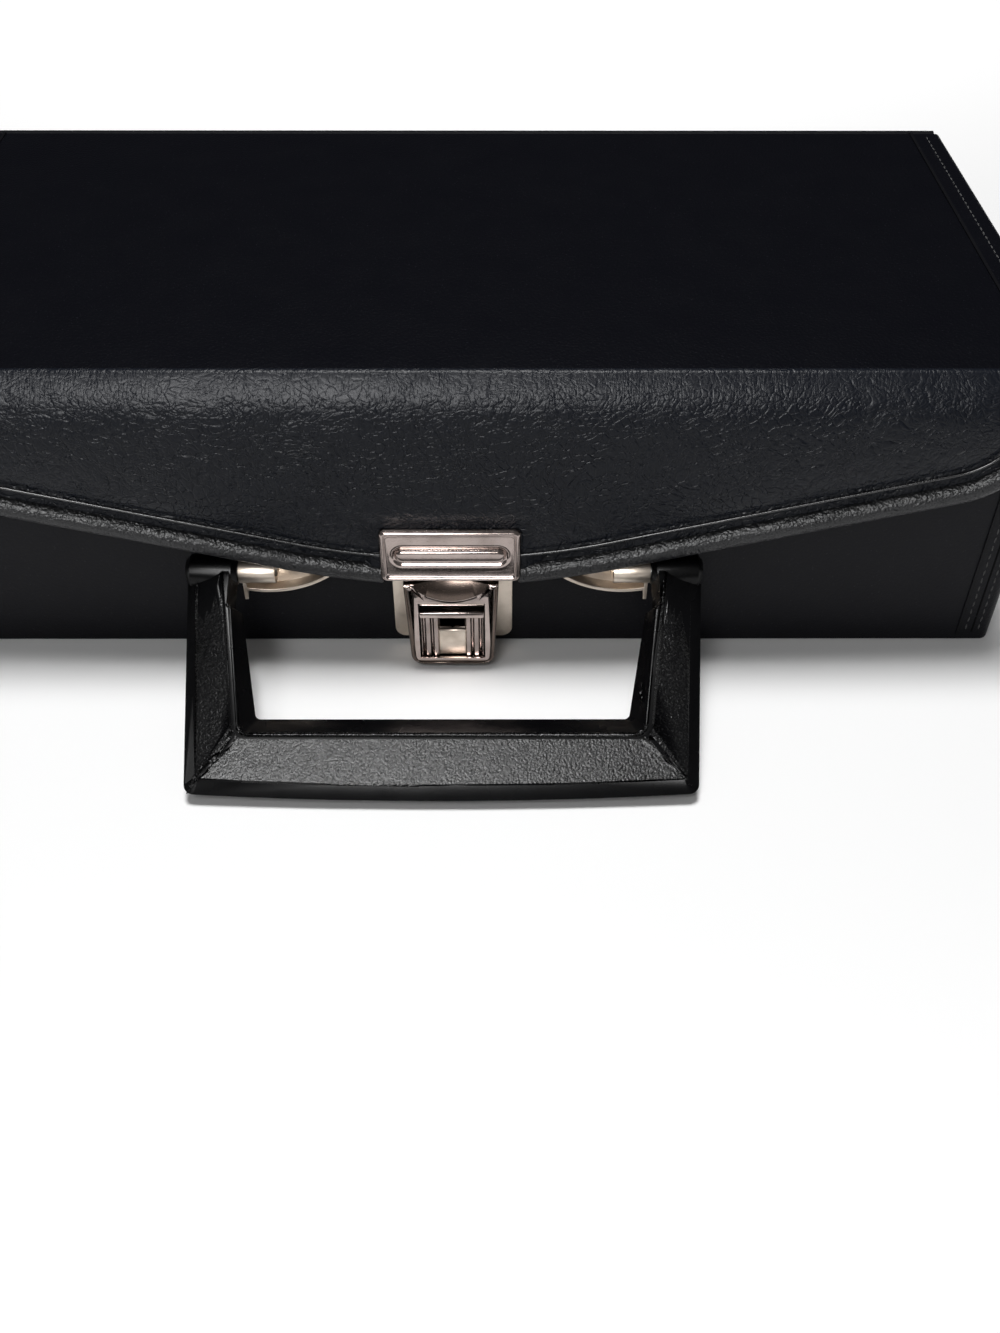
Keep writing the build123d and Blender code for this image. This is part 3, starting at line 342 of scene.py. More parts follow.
# ---------------------------------------------------------------- shader tools
class Paint:
    """One procedural material that is built node by node."""

    def __init__(self, name: str, constants: dict[str, float | Sequence[float]]) -> None:
        """Make the material.

        Args:
            name: The material's name.
            constants: Values of the shader's own sockets that are the same all over.
        """
        self.material = bpy.data.materials.new(name)
        self.material.use_nodes = True
        self.tree = self.material.node_tree
        self.shader = self.tree.nodes["Principled BSDF"]
        for socket, value in constants.items():
            self.shader.inputs[socket].default_value = value

    def node(self, kind: str, settings: dict, inputs: dict) -> bpy.types.Node:
        """Add a node.

        Args:
            kind: The node's type.
            settings: Its own settings, set first, with a ramp's stops under "stops".
            inputs: Values or links of its sockets, by name or number.

        Returns:
            The node.
        """
        made = self.tree.nodes.new(kind)
        for key, value in settings.items():
            if key == "stops":
                ramp = made.color_ramp.elements
                for element, (place, tone) in zip((ramp[0], ramp[1]), value):
                    element.position, element.color = place, (*tone, 1.0)
                for place, tone in value[2:]:
                    ramp.new(place).color = (*tone, 1.0)
            else:
                setattr(made, key, value)
        for key, value in inputs.items():
            if isinstance(value, Number):
                value = value.socket
            if isinstance(value, bpy.types.NodeSocket):
                self.tree.links.new(value, made.inputs[key])
            else:
                made.inputs[key].default_value = value
        return made

    def feed(self, socket: str, value: "Number | Socket") -> None:
        """Link a value that varies over the surface to a socket of the shader."""
        source = value.socket if isinstance(value, Number) else value
        self.tree.links.new(source, self.shader.inputs[socket])

    def place(self, stretch: Sequence[float] = (1, 1, 1),
              turn: Sequence[float] = (0, 0, 0)) -> Socket:
        """Object coordinates, stretched and turned.

        Args:
            stretch: Scale of each axis.
            turn: Angles about the axes.

        Returns:
            The coordinates.
        """
        source = self.node("ShaderNodeTexCoord", {}, {}).outputs["Object"]
        mapping = self.node("ShaderNodeMapping", {}, {
            "Vector": source, "Scale": stretch, "Rotation": turn})
        return mapping.outputs["Vector"]

    def grain(self, size: float, detail: float = 2.0, place: Socket | None = None) -> "Number":
        """Even noise whose features are about size metres wide, from 0 to 1.

        Args:
            size: Width of a feature.
            detail: How many finer layers it has.
            place: Its coordinates, if they aren't the plain Object ones.

        Returns:
            The noise.
        """
        made = self.node("ShaderNodeTexNoise", {}, {
            "Vector": place or self.place(), "Scale": 1 / size, "Detail": detail})
        return Number(self, made.outputs["Fac"])

    def cells(self, size: float) -> "Number":
        """Rounded cells about size metres wide: 0 in their middles, rising to their rims.

        Args:
            size: Width of a cell.

        Returns:
            The distance from the nearest middle.
        """
        made = self.node("ShaderNodeTexVoronoi", {"feature": "SMOOTH_F1"}, {
            "Vector": self.place(), "Scale": 1 / size, "Smoothness": 0.4})
        return Number(self, made.outputs["Distance"])

    def cracks(self, size: float, width: float, place: Socket) -> "Number":
        """A net of thin lines round cells about size metres wide: 1 on the lines.

        Args:
            size: Width of a cell.
            width: Width of a line.
            place: Its coordinates.

        Returns:
            The net.
        """
        made = self.node("ShaderNodeTexVoronoi", {"feature": "DISTANCE_TO_EDGE"}, {
            "Vector": place, "Scale": 1 / size})
        return 1 - Number(self, made.outputs["Distance"]).between(0.0, width / size)

    def warped(self, size: float, amount: float, place: Socket) -> Socket:
        """Coordinates that a slow noise pushes about.

        Args:
            size: Width of the noise's features.
            amount: How far it pushes.
            place: The coordinates.

        Returns:
            The pushed coordinates.
        """
        push = self.node("ShaderNodeTexNoise", {}, {
            "Vector": place, "Scale": 1 / size, "Detail": 2.0})
        scaled = self.node("ShaderNodeVectorMath", {"operation": "SCALE"}, {
            0: push.outputs["Color"], "Scale": amount})
        added = self.node("ShaderNodeVectorMath", {"operation": "ADD"}, {
            0: place, 1: scaled.outputs[0]})
        return added.outputs[0]

    def along(self, axis: str) -> "Number":
        """One Object coordinate, X, Y or Z, in metres."""
        parts = self.node("ShaderNodeSeparateXYZ", {}, {"Vector": self.place()})
        return Number(self, parts.outputs[axis])

    def blend(self, share: "Number", low: Colour, high: Colour) -> Socket:
        """A colour between two, by a share from 0 to 1.

        Args:
            share: 0 for the first colour, 1 for the second.
            low: The first colour.
            high: The second colour.

        Returns:
            The mixed colour.
        """
        mixed = self.node("ShaderNodeMix", {"data_type": "RGBA", "clamp_factor": True}, {
            0: share, 6: (*low, 1.0), 7: (*high, 1.0)})
        return mixed.outputs[2]

    def relief(self, height: "Number", depth: float) -> None:
        """Bump of the whole surface.

        Args:
            height: Height, in units of depth.
            depth: Metres for one unit of height.
        """
        bump = self.node("ShaderNodeBump", {}, {
            "Strength": 1.0, "Distance": depth, "Height": height})
        self.feed("Normal", bump.outputs["Normal"])


@dataclass
class Number:
    """A value that varies over a surface, with Python's arithmetic."""

    paint: Paint
    socket: Socket

    def _math(self, operation: str, *operands: "Number | float") -> "Number":
        """Add a Math node.

        Args:
            operation: What the node does.
            operands: Its values, in order.

        Returns:
            The result.
        """
        made = self.paint.node("ShaderNodeMath", {"operation": operation},
                               dict(enumerate(operands)))
        return Number(self.paint, made.outputs[0])

    def __add__(self, other: "Number | float") -> "Number":
        """Sum."""
        return self._math("ADD", self, other)

    __radd__ = __add__

    def __sub__(self, other: "Number | float") -> "Number":
        """Difference."""
        return self._math("SUBTRACT", self, other)

    def __rsub__(self, other: float) -> "Number":
        """Difference from a number."""
        return self._math("SUBTRACT", other, self)

    def __mul__(self, other: "Number | float") -> "Number":
        """Product."""
        return self._math("MULTIPLY", self, other)

    __rmul__ = __mul__

    def __pow__(self, other: float) -> "Number":
        """Power."""
        return self._math("POWER", self, other)

    def __abs__(self) -> "Number":
        """Size without sign."""
        return self._math("ABSOLUTE", self)

    def between(self, low: float, high: float) -> "Number":
        """A smooth step from 0 at low to 1 at high.

        Args:
            low: Where the step starts.
            high: Where it ends.

        Returns:
            The step.
        """
        made = self.paint.node("ShaderNodeMapRange", {"interpolation_type": "SMOOTHSTEP"}, {
            "Value": self, "From Min": low, "From Max": high})
        return Number(self.paint, made.outputs["Result"])

    def ridge(self, sharpness: float) -> "Number":
        """Thin lines where the value crosses its middle, 1 on the line."""
        return (1 - abs(self * 2 - 1)) ** sharpness


# ---------------------------------------------------------------- finishes
@dataclass(frozen=True)
class Vinyl:
    """Grained black vinyl that is glued over board or padding."""

    name: str
    colour: Colour = (0.0075, 0.0078, 0.0098)
    dust: Colour = (0.045, 0.045, 0.052)
    roughness: float = 0.42
    gloss: float = 0.28
    grain: float = 0.35
    creases: float = 0.0
    strokes: float = 0.0
    stroke_top: float = 0.084
    stroke_end: float = 0.070
    taut: float = 0.0
    taut_from: float = 0.0660
    depth: float = 0.16 * MM
    pore_size: float = 0.75 * MM
    pit_size: float = 0.35 * MM
    patch_size: float = 14 * MM
    speck_size: float = 0.55 * MM
    long_size: float = 5.5 * MM
    short_size: float = 2.2 * MM
    net_size: float = 2.1 * MM
    net_width: float = 0.32 * MM
    stroke_size: float = 0.9 * MM
    tuft_size: float = 11 * MM

    def material(self) -> bpy.types.Material:
        """Build the finish.

        Returns:
            A material with pores, creases that wander, and short strokes by a fold.
        """
        paint = Paint(self.name, {"Specular IOR Level": self.gloss})
        pores = paint.cells(self.pore_size)
        fine = paint.grain(self.pit_size, 3.0)
        patches = paint.grain(self.patch_size, 3.0)
        height = pores * self.grain + fine * self.grain * 0.7
        if self.creases:
            drift = paint.warped(16 * MM, 9 * MM, paint.place())
            long_crease = paint.grain(self.long_size, 2.5, drift).ridge(9.0)
            bent = paint.warped(5 * MM, 3 * MM, drift)
            short_crease = paint.grain(self.short_size, 2.0, bent).ridge(6.0)
            torn = paint.warped(3 * MM, 2.4 * MM, drift)
            net = paint.cracks(self.net_size, self.net_width, torn)
            shares = patches.between(0.32, 0.62)
            wandering = long_crease * 0.9 + short_crease * 0.55
            height = height - wandering * self.creases * shares
            height = height - net * (1 - shares * 0.6) * self.creases * 0.5
            taut = paint.along("Z").between(self.taut_from, self.stroke_top) * self.taut
            height = height * (1 - taut)
        if self.strokes:
            narrow = paint.warped(9 * MM, 2.6 * MM, paint.place((1.0, 0.22, 0.22)))
            stroke = paint.grain(self.stroke_size, 2.0, narrow).ridge(4.0)
            near = paint.along("Z").between(self.stroke_end, self.stroke_top)
            tufts = paint.grain(self.tuft_size, 2.0).between(0.36, 0.6)
            height = height - stroke * near * tufts * self.strokes
        paint.relief(height, self.depth)
        specks = paint.grain(self.speck_size, 1.0).between(0.69, 0.78)
        paint.feed("Base Color", paint.blend(specks * 0.35, self.colour, self.dust))
        paint.feed("Roughness", self.roughness + (patches - 0.5) * 0.14 + (fine - 0.5) * 0.1)
        return paint.material


@dataclass(frozen=True)
class Plated:
    """Bright plating with a warm tint, a little worn."""

    name: str
    colour: Colour = (0.66, 0.605, 0.56)
    tarnish: Colour = (0.42, 0.36, 0.31)
    roughness: float = 0.17
    wear: float = 0.5

    def material(self) -> bpy.types.Material:
        """Build the finish.

        Returns:
            The material.
        """
        paint = Paint(self.name, {"Metallic": 1.0})
        cloud = paint.grain(6 * MM, 4.0)
        brushed = paint.place((0.08, 1.0, 1.0), (0.0, 0.5, 0.3))
        scratch = paint.grain(0.5 * MM, 2.0, brushed).between(0.62, 0.7)
        pits = paint.grain(0.25 * MM, 1.0).between(0.66, 0.74)
        paint.feed("Base Color", paint.blend(
            cloud.between(0.4, 0.75) * self.wear + pits * 0.3, self.colour, self.tarnish))
        paint.feed("Roughness", self.roughness + cloud * 0.1 * self.wear + scratch * 0.08)
        paint.relief(cloud * 0.5 - scratch * 0.06 - pits * 0.08, 0.05 * MM)
        return paint.material


@dataclass(frozen=True)
class Plastic:
    """Moulded black plastic, polished or spark-textured."""

    name: str
    colour: Colour = (0.010, 0.010, 0.011)
    sparkle: Colour = (0.06, 0.06, 0.06)
    roughness: float = 0.42
    texture: float = 1.0
    size: float = 0.42 * MM
    gloss: float = 0.5

    def material(self) -> bpy.types.Material:
        """Build the finish.

        Returns:
            The material.
        """
        paint = Paint(self.name, {"Specular IOR Level": self.gloss})
        pits = paint.grain(self.size, 2.0)
        waves = paint.grain(9 * MM, 2.0)
        # Painted glints: light specks in the base colour stand in for the texture's facets
        # catching the light.
        paint.feed("Base Color", paint.blend(pits.between(0.56, 0.72) * 0.6 * self.texture,
                                             self.colour, self.sparkle))
        roughness = self.roughness + (waves - 0.5) * 0.08 + (pits - 0.5) * 0.12 * self.texture
        paint.feed("Roughness", roughness)
        paint.relief(pits * self.texture + waves * 0.4, 0.14 * MM)
        return paint.material


@dataclass(frozen=True)
class Fibre:
    """Board, flocked paper, foam or covered cord."""

    name: str
    colour: Colour
    fleck: Colour
    roughness: float = 0.85
    size: float = 0.6 * MM
    relief: float = 0.1 * MM
    sheen: float = 0.0

    def material(self) -> bpy.types.Material:
        """Build the finish.

        Returns:
            The material.
        """
        paint = Paint(self.name, {"Sheen Weight": self.sheen, "Specular IOR Level": 0.3})
        strands = paint.grain(self.size, 3.0, paint.place((0.4, 1.0, 0.7)))
        patches = paint.grain(20 * MM, 2.0)
        paint.feed("Base Color", paint.blend(
            strands.between(0.35, 0.7) * 0.7 + patches * 0.3, self.colour, self.fleck))
        paint.feed("Roughness", self.roughness + (patches - 0.5) * 0.1)
        paint.relief(strands, self.relief)
        return paint.material


@dataclass(frozen=True)
class Finishes:
    """Every finish of the case."""

    # Lid, flap and walls are one black vinyl; the lid's copy is set darker than the flap's,
    # painted shade on the lid top.
    lid: Vinyl = Vinyl("lid_vinyl", (0.0026, 0.0028, 0.0046), (0.025, 0.025, 0.034),
                       roughness=0.38, gloss=0.11, grain=0.6)
    hinge: Vinyl = Vinyl("hinge_vinyl", (0.0036, 0.0037, 0.0052), roughness=0.6, gloss=0.08)
    flap: Vinyl = Vinyl("flap_vinyl", (0.0044, 0.0058, 0.0100), roughness=0.36, gloss=0.19,
                        grain=0.22, creases=0.85, strokes=0.13, taut=0.7, depth=0.34 * MM)
    roll: Vinyl = Vinyl("roll_vinyl", (0.0070, 0.0074, 0.0092), roughness=0.38, gloss=0.45,
                        grain=0.4, creases=0.5, depth=0.3 * MM)
    wall: Vinyl = Vinyl("wall_vinyl", (0.0046, 0.0047, 0.0070), gloss=0.125, grain=0.3)
    # Near-black matt vinyl: painted shade of the groove between the end walls' stitch rows.
    groove_shade: Vinyl = Vinyl("groove_shade_vinyl", (0.0015, 0.0015, 0.002), roughness=0.7, gloss=0.05, grain=0.1)
    thread: Fibre = Fibre("thread", (0.035, 0.035, 0.036), (0.10, 0.10, 0.10), size=0.25 * MM)
    seam: Vinyl = Vinyl("seam_vinyl", (0.0036, 0.0037, 0.0050), roughness=0.5, gloss=0.12,
                        grain=0.15)
    cord: Vinyl = Vinyl("cord_vinyl", (0.010, 0.010, 0.012), roughness=0.25, gloss=0.6, grain=0.15)
    plated: Plated = Plated("nickel_plate", (0.42, 0.355, 0.33), (0.19, 0.155, 0.14),
                             roughness=0.13)
    plate: Plated = Plated("nickel_sheet", (0.66, 0.58, 0.50), (0.42, 0.35, 0.28),
                           roughness=0.32, wear=0.8)
    # A dark copy of the bright plating: painted shade on the lock housing's flanks, rim and scoop.
    shade: Plated = Plated("shaded_plate", (0.13, 0.10, 0.085), (0.05, 0.038, 0.032),
                           roughness=0.2)
    # A near-black copy of the plating: painted shade in the slider's pocket, and on the slider's
    # rivet.
    recess_shade: Plated = Plated("recess_shade_plate", (0.06, 0.048, 0.042), (0.02, 0.016, 0.014),
                            roughness=0.35, wear=0.8)
    steel: Plated = Plated("zinc_plate", (0.52, 0.52, 0.51), (0.36, 0.35, 0.33),
                           roughness=0.38, wear=0.9)
    board: Fibre = Fibre("pasteboard", (0.30, 0.25, 0.19), (0.40, 0.34, 0.27))
    rim: Fibre = Fibre("faced_board", (0.028, 0.027, 0.027), (0.06, 0.055, 0.05))
    lining: Fibre = Fibre("flock_paper", (0.016, 0.015, 0.016), (0.03, 0.028, 0.03),
                          size=0.4 * MM, sheen=0.4)
    foam: Fibre = Fibre("foam", (0.5, 0.46, 0.37), (0.6, 0.56, 0.47), size=0.5 * MM,
                        relief=0.3 * MM)
    tray: Plastic = Plastic("tray_plastic", (0.03, 0.03, 0.032), (0.05, 0.05, 0.05),
                            roughness=0.5, texture=0.4, size=0.8 * MM)
    texture: Plastic = Plastic("spark_texture", (0.0022, 0.0022, 0.0026), (0.016, 0.016, 0.016),
                               roughness=0.27, texture=1.4, size=0.55 * MM, gloss=0.42)
    gloss: Plastic = Plastic("polished_plastic", (0.0020, 0.0020, 0.0024), roughness=0.27,
                             texture=0.0, gloss=0.16)


# ---------------------------------------------------------------- the flap
@dataclass
class FlapShape:
    """The flap's measures, in its own plane: across, up from the fold's axis, and out."""

    lean: float = math.radians(4.2)
    drop: float = 55.3817 * MM
    side: float = 4.2 * MM
    half_width: float = 144 * MM
    tip_radius: float = 180 * MM
    corner_radius: float = 28 * MM
    roll_radius: float = 2.9 * MM
    fold_y: float = field(init=False)
    fold_z: float = field(init=False)
    fold_radius: float = field(init=False)
    flank: float = field(init=False)
    corner_x: float = field(init=False)
    arc_end: float = field(init=False)
    flank_end: float = field(init=False)
    corner_end: float = field(init=False)

    def __post_init__(self) -> None:
        """Take the fold's place from the frame and work out the edge's stretches."""
        low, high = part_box("fold_roll")
        self.fold_y, self.fold_z = (low.y + high.y) / 2, (low.z + high.z) / 2
        self.fold_radius = (high.z - low.z) / 2
        self.corner_x = self.half_width - self.corner_radius
        rise = self.drop - self.side - self.tip_radius
        spread = self.tip_radius - self.corner_radius
        between = math.hypot(rise, self.corner_x)
        self.flank = math.atan2(rise, self.corner_x) + math.asin(spread / between)
        self.arc_end = self.tip_radius * self.flank
        self.flank_end = self.arc_end + math.sqrt(between**2 - spread**2)
        self.corner_end = self.flank_end + self.corner_radius * (math.radians(90) - self.flank)

    def world(self, x: float, up: float, out: float) -> Vector:
        """A point of the flap's frame in the case's frame.

        Args:
            x: Place across.
            up: Place up from the fold's axis.
            out: Place out of the flap's middle plane.

        Returns:
            The point.
        """
        return Vector((
            x, self.fold_y + up * math.sin(self.lean) - out * math.cos(self.lean),
            self.fold_z + up * math.cos(self.lean) + out * math.sin(self.lean)))

    def frame(self, up: float, out: float) -> Matrix:
        """The frame of something that lies on the flap: X across, Y up, Z out."""
        turn = Matrix.Rotation(math.radians(90) - self.lean, 4, "X")
        return Matrix.Translation(self.world(0, up, out)) @ turn

    def edge_point(self, walk: float, inset: float) -> tuple[float, float]:
        """A point inside the flap's edge, on the edge's normal.

        Args:
            walk: Way along the edge from its lowest point, to the right where it is positive.
            inset: How far inside the edge.

        Returns:
            Across and up.
        """
        side, way = math.copysign(1.0, walk), abs(walk)
        if way < self.arc_end:
            angle = way / self.tip_radius
            reach = self.tip_radius - inset
            return (side * reach * math.sin(angle),
                    self.tip_radius - self.drop - reach * math.cos(angle))
        if way < self.flank_end:
            angle = self.flank
            onwards = way - self.arc_end
            reach = self.tip_radius - inset
            across = reach * math.sin(angle) + onwards * math.cos(angle)
            return side * across, (self.tip_radius - self.drop - reach * math.cos(angle)
                                   + onwards * math.sin(angle))
        reach = self.corner_radius - inset
        angle = min(self.flank + (way - self.flank_end) / self.corner_radius, math.radians(90))
        above = max(way - self.corner_end, 0.0)
        return (side * (self.corner_x + reach * math.sin(angle)),
                -self.side - reach * math.cos(angle) + above)


@dataclass
class PaddedFlap:
    """The padded flap with the skin of the lid, which is one sheet over the fold."""

    shape: FlapShape
    columns: int = 320
    face_rows: int = 48
    lid_rows: int = 30
    fold_rows: int = 16
    skin: float = 0.5 * MM
    border_in: float = 12.0 * MM
    panel_out: float = 2.15 * MM
    crown: float = 2.2 * MM
    sheet_x: float = 135.6 * MM
    fold_x: float = 143.5 * MM
    pad_edge: float = 10.4 * MM
    pad_reach: float = 4.9 * MM
    seam_reach: float = 5 * MM
    calm_from: float = 11 * MM
    calm_reach: float = 6 * MM
    swell: float = 0.28 * MM
    swirl_depth: float = 0.09 * MM
    small_depth: float = 0.045 * MM
    stroke_depth: float = 0.028 * MM
    stroke_middle: float = 3 * MM
    stroke_reach: float = 9 * MM
    catch_half_width: float = 17.5 * MM
    catch_top: float = -37.4 * MM
    free_beside: float = 5 * MM
    free_above: float = 6 * MM
    piping_in: float = 9.4 * MM
    piping_radius: float = 0.38 * MM
    blunt_end: float = 0.4 * MM
    roll_start: float = 16.5 * MM
    roll_stop: float = 2.3 * MM
    lid_from: tuple[float, float] = (-68.9 * MM, 82 * MM)
    lid_share: float = 0.25
    lid_turn: tuple[tuple[float, float], ...] = ((-68.0, 84.02), (-69.5, 84.02), (-69.95, 83.55))
    fold_bulge: tuple[float, float] = (-1.2 * MM, 0.8 * MM)
    seam: tuple[tuple[float, float], ...] = (
        (12.0, 0.0), (11.2, -0.12), (10.6, -0.22), (10.2, -0.12), (9.8, 0.12), (9.4, 0.12),
        (9.1, -0.1), (8.95, -0.7), (8.75, -1.25), (8.4, -1.5), (7.4, -1.55), (6.6, -1.55),
        (5.8, -1.5), (5.0, -1.5))
    foam_steps: int = 60
    foam_rings: tuple[tuple[float, float, float], ...] = (
        (9.9, 0.0, -2.8), (9.7, 0.6, -3.0), (10.2, 1.15, -3.6), (11.6, 1.42, -4.6))

    def creases(self, x: float, up: float) -> float:
        """Height of the vinyl's creases at a place on the face: zero, or below it.

        Args:
            x: Place across.
            up: Place up from the fold's axis.

        Returns:
            The height, in metres.
        """
        spot = Vector((x / MM, up / MM, 0.0))
        slow = spot * 0.045
        drift = Vector((noise.noise(slow), noise.noise(slow + Vector((7, 3, 1))), 0)) * 9
        patch = noise.noise(spot * 0.03 + Vector((2, 9, 4)))
        swirl = crease_line((spot + drift) * 0.26, 3.2)
        small = crease_line((spot + drift * 0.6) * 0.62 + Vector((5, 1, 8)), 3.0)
        near_fold = math.exp(-((up + self.stroke_middle) / self.stroke_reach) ** 2)
        stroke = crease_line(Vector((x / MM * 0.62 + drift.x * 0.12, up / MM * 0.13, 6.0)), 2.8)
        tuft = noise.noise(Vector((x / MM * 0.05, up / MM * 0.08, 12.0)))
        height = -swirl * self.swirl_depth * clamped(0.45 + patch * 2.2)
        height -= small * self.small_depth * clamped(0.6 - patch * 1.5)
        height -= stroke * self.stroke_depth * near_fold * max(0.15, min(1.0, 0.5 + tuft * 2.4))
        return height

    def face_out(self, x: float, up: float, inset: float) -> float:
        """How far the face stands out of the flap's middle plane.

        Args:
            x: Place across.
            up: Place up from the fold's axis.
            inset: Distance from the flap's edge.

        Returns:
            The distance, in metres.
        """
        free = clamped(max((abs(x) - self.catch_half_width) / self.free_beside,
                           (up - self.catch_top) / self.free_above))
        free = free * free * (3 - 2 * free)
        pad = self.crown * (1 - math.exp(-max(-up - self.shape.side, 0.0) / self.pad_reach))
        pad *= 1 - math.exp(-max(inset - self.pad_edge, 0.0) / self.seam_reach)
        swell = noise.noise(Vector((x * 26, up * 38, 3.1))) * self.swell
        calm = clamped((inset - self.calm_from) / self.calm_reach)
        seam = 0.0
        for (far, far_out), (near, near_out) in zip(self.seam, self.seam[1:]):
            if near * MM <= inset < far * MM:
                share = (far * MM - inset) / ((far - near) * MM)
                seam = (far_out + (near_out - far_out) * share) * MM
        if inset <= self.seam[-1][0] * MM:
            seam = self.seam[-1][1] * MM
        creases = self.creases(x, up) * min(1.0, calm + 0.2)
        return self.panel_out + (pad + seam + swell * calm + creases) * free

    def patch(self, name: str, columns: int, rows: int,
              place: Callable[[int, int], Vector]) -> Mesh:
        """A subdivided grid whose crossings are moved to their places.

        Args:
            name: The object's name.
            columns: Cells across.
            rows: Cells down.
            place: Gives the place of a crossing from its column and row.

        Returns:
            The grid.
        """
        clear_selection()
        bpy.ops.mesh.primitive_grid_add(x_subdivisions=columns, y_subdivisions=rows, size=2.0)
        grid = bpy.context.object
        grid.name = name
        with editing(grid) as mesh:
            for vert in mesh.verts:
                column = round((vert.co.x + 1) / 2 * columns)
                row = round((1 - vert.co.y) / 2 * rows)
                vert.co = place(column, row)
        return grid

    def top_walks(self) -> list[float]:
        """Ways along the edge of the face's columns, from the left end to the right one."""
        end = self.shape.corner_end
        return [end * (2 * column / self.columns - 1) for column in range(self.columns + 1)]

    def face(self) -> Mesh:
        """The flap's face, from the foot of the fold to its tucked edge.

        Returns:
            The grid.
        """
        shape, walks = self.shape, self.top_walks()

        def place(column: int, row: int) -> Vector:
            """Place of a crossing of the face.

            Args:
                column: The crossing's column.
                row: Its row.

            Returns:
                The place.
            """
            walk = walks[column]
            if row > self.face_rows:
                inset = self.seam[row - self.face_rows][0] * MM
                x, up = shape.edge_point(walk, inset)
                return shape.world(x, up, self.face_out(x, up, inset))
            x, low = shape.edge_point(walk, self.border_in)
            up = -shape.side + (low + shape.side) * row / self.face_rows
            return shape.world(x, up, self.face_out(x, up, self.border_in + up - low))

        return self.patch("face", self.columns, self.face_rows + len(self.seam) - 1, place)

    def fold_columns(self) -> list[tuple[float, float, float]]:
        """Place across at the face and at the lid, and inset, of each column of the fold.

        Returns:
            One entry for each column, from the left end to the right one.
        """
        shape = self.shape
        ends = [(shape.half_width - inset * MM, inset * MM)
                for inset, _ in reversed(self.seam[1:])]
        reach = shape.half_width - self.border_in
        widen = (self.fold_x - self.sheet_x) / (ends[0][0] - reach)
        outer = [(x, self.sheet_x + (x - reach) * widen, inset) for x, inset in ends]
        inner = []
        for walk in self.top_walks():
            x, low = shape.edge_point(walk, self.border_in)
            inner.append((x, x * self.sheet_x / reach, self.border_in - shape.side - low))
        left = [(-x, -far_x, inset) for x, far_x, inset in outer]
        return left + inner + outer[::-1]

    def bend(self, share: float) -> tuple[float, float]:
        """A point of the fold's line, Y and Z, from the lid at 0 to the face at 1.

        Args:
            share: Way along the line.

        Returns:
            Y and Z, in metres.
        """
        shape = self.shape
        turn = [Vector(point) for point in self.lid_turn]
        if share <= self.lid_share:
            step = share / self.lid_share
            ends = turn
        else:
            step = (share - self.lid_share) / (1 - self.lid_share)
            end = shape.world(0, -shape.side, self.panel_out).yz / MM
            ends = turn[-1], shape.world(0, *self.fold_bulge).yz / MM, end
        spot = ends[0] * (1 - step) ** 2 + ends[1] * 2 * step * (1 - step) + ends[2] * step**2
        return spot.x * MM, spot.y * MM

    def fold(self) -> Mesh:
        """The strip that turns from the lid down to the face.

        Returns:
            The grid.
        """
        shape, columns = self.shape, self.fold_columns()
        outwards = shape.world(0, 0, 1) - shape.world(0, 0, 0)

        def place(column: int, row: int) -> Vector:
            """Place of a crossing of the fold.

            Args:
                column: The crossing's column.
                row: Its row.

            Returns:
                The place.
            """
            share = row / self.fold_rows
            x, lid_x, inset = columns[column]
            extra = self.face_out(x, -shape.side, inset) - self.panel_out
            y, z = self.bend(share)
            across = x + (lid_x - x) * (1 - share)
            fade = math.sin(share * math.pi / 2) * 0.3
            wrinkle = self.creases(across, (1 - share) * 3 * MM) * fade
            return Vector((across, y, z)) + outwards * (extra * share**2 + wrinkle)

        return self.patch("fold", len(columns) - 1, self.fold_rows, place)

    def lid_top(self) -> Mesh:
        """The sheet on the lid, from its back edge to the fold.

        Returns:
            The grid.
        """
        shape, walks = self.shape, self.top_walks()
        reach = shape.half_width - self.border_in
        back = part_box("lid_cover")[1].y

        def place(column: int, row: int) -> Vector:
            """Place of a crossing of the lid's sheet.

            Args:
                column: The crossing's column.
                row: Its row.

            Returns:
                The place.
            """
            down = row / self.lid_rows
            x = shape.edge_point(walks[column], self.border_in)[0] * self.sheet_x / reach
            y, z = self.bend(0.0)
            y = back + (y - back) * down
            rim = clamped(min(down * 8, (1 - down) * 8, (self.sheet_x - abs(x)) / (8 * MM)))
            lift = (0.12 + noise.noise(Vector((x * 14, y * 18, 1.7))) * 0.10) * MM
            return Vector((x, y, z + lift * rim))

        return self.patch("lid_top", self.columns, self.lid_rows, place)

    def skin_sheet(self) -> Mesh:
        """Build the sheet that covers the lid, turns over the fold and covers the flap.

        Returns:
            The sheet, a thin closed shell.
        """
        sheet = join("lid_and_flap_skin", [self.face(), self.fold(), self.lid_top()])
        sew(sheet)
        if sum(face.normal.z * face.area for face in sheet.data.polygons) < 0:
            with editing(sheet):
                bpy.ops.mesh.select_all(action="SELECT")
                bpy.ops.mesh.flip_normals()
        wall = sheet.modifiers.new("thickness", "SOLIDIFY")
        wall.thickness = self.skin
        wall.offset = -1.0
        return settle(sheet, 60.0)

    def tube(self, name: str, start: float, end: float, inset: float, out: float,
             radius: float, cells: tuple[int, int], gathered: float) -> Mesh:
        """A closed round tube that follows the flap's edge.

        Args:
            name: The object's name.
            start: Way along the edge at its start.
            end: Way along the edge at its end.
            inset: Distance of its middle line from the edge.
            out: Distance of its middle line from the flap's middle plane.
            radius: Its radius.
            cells: Cells along and around.
            gathered: How strongly its skin is gathered.

        Returns:
            The tube.
        """
        shape = self.shape
        along, around = cells

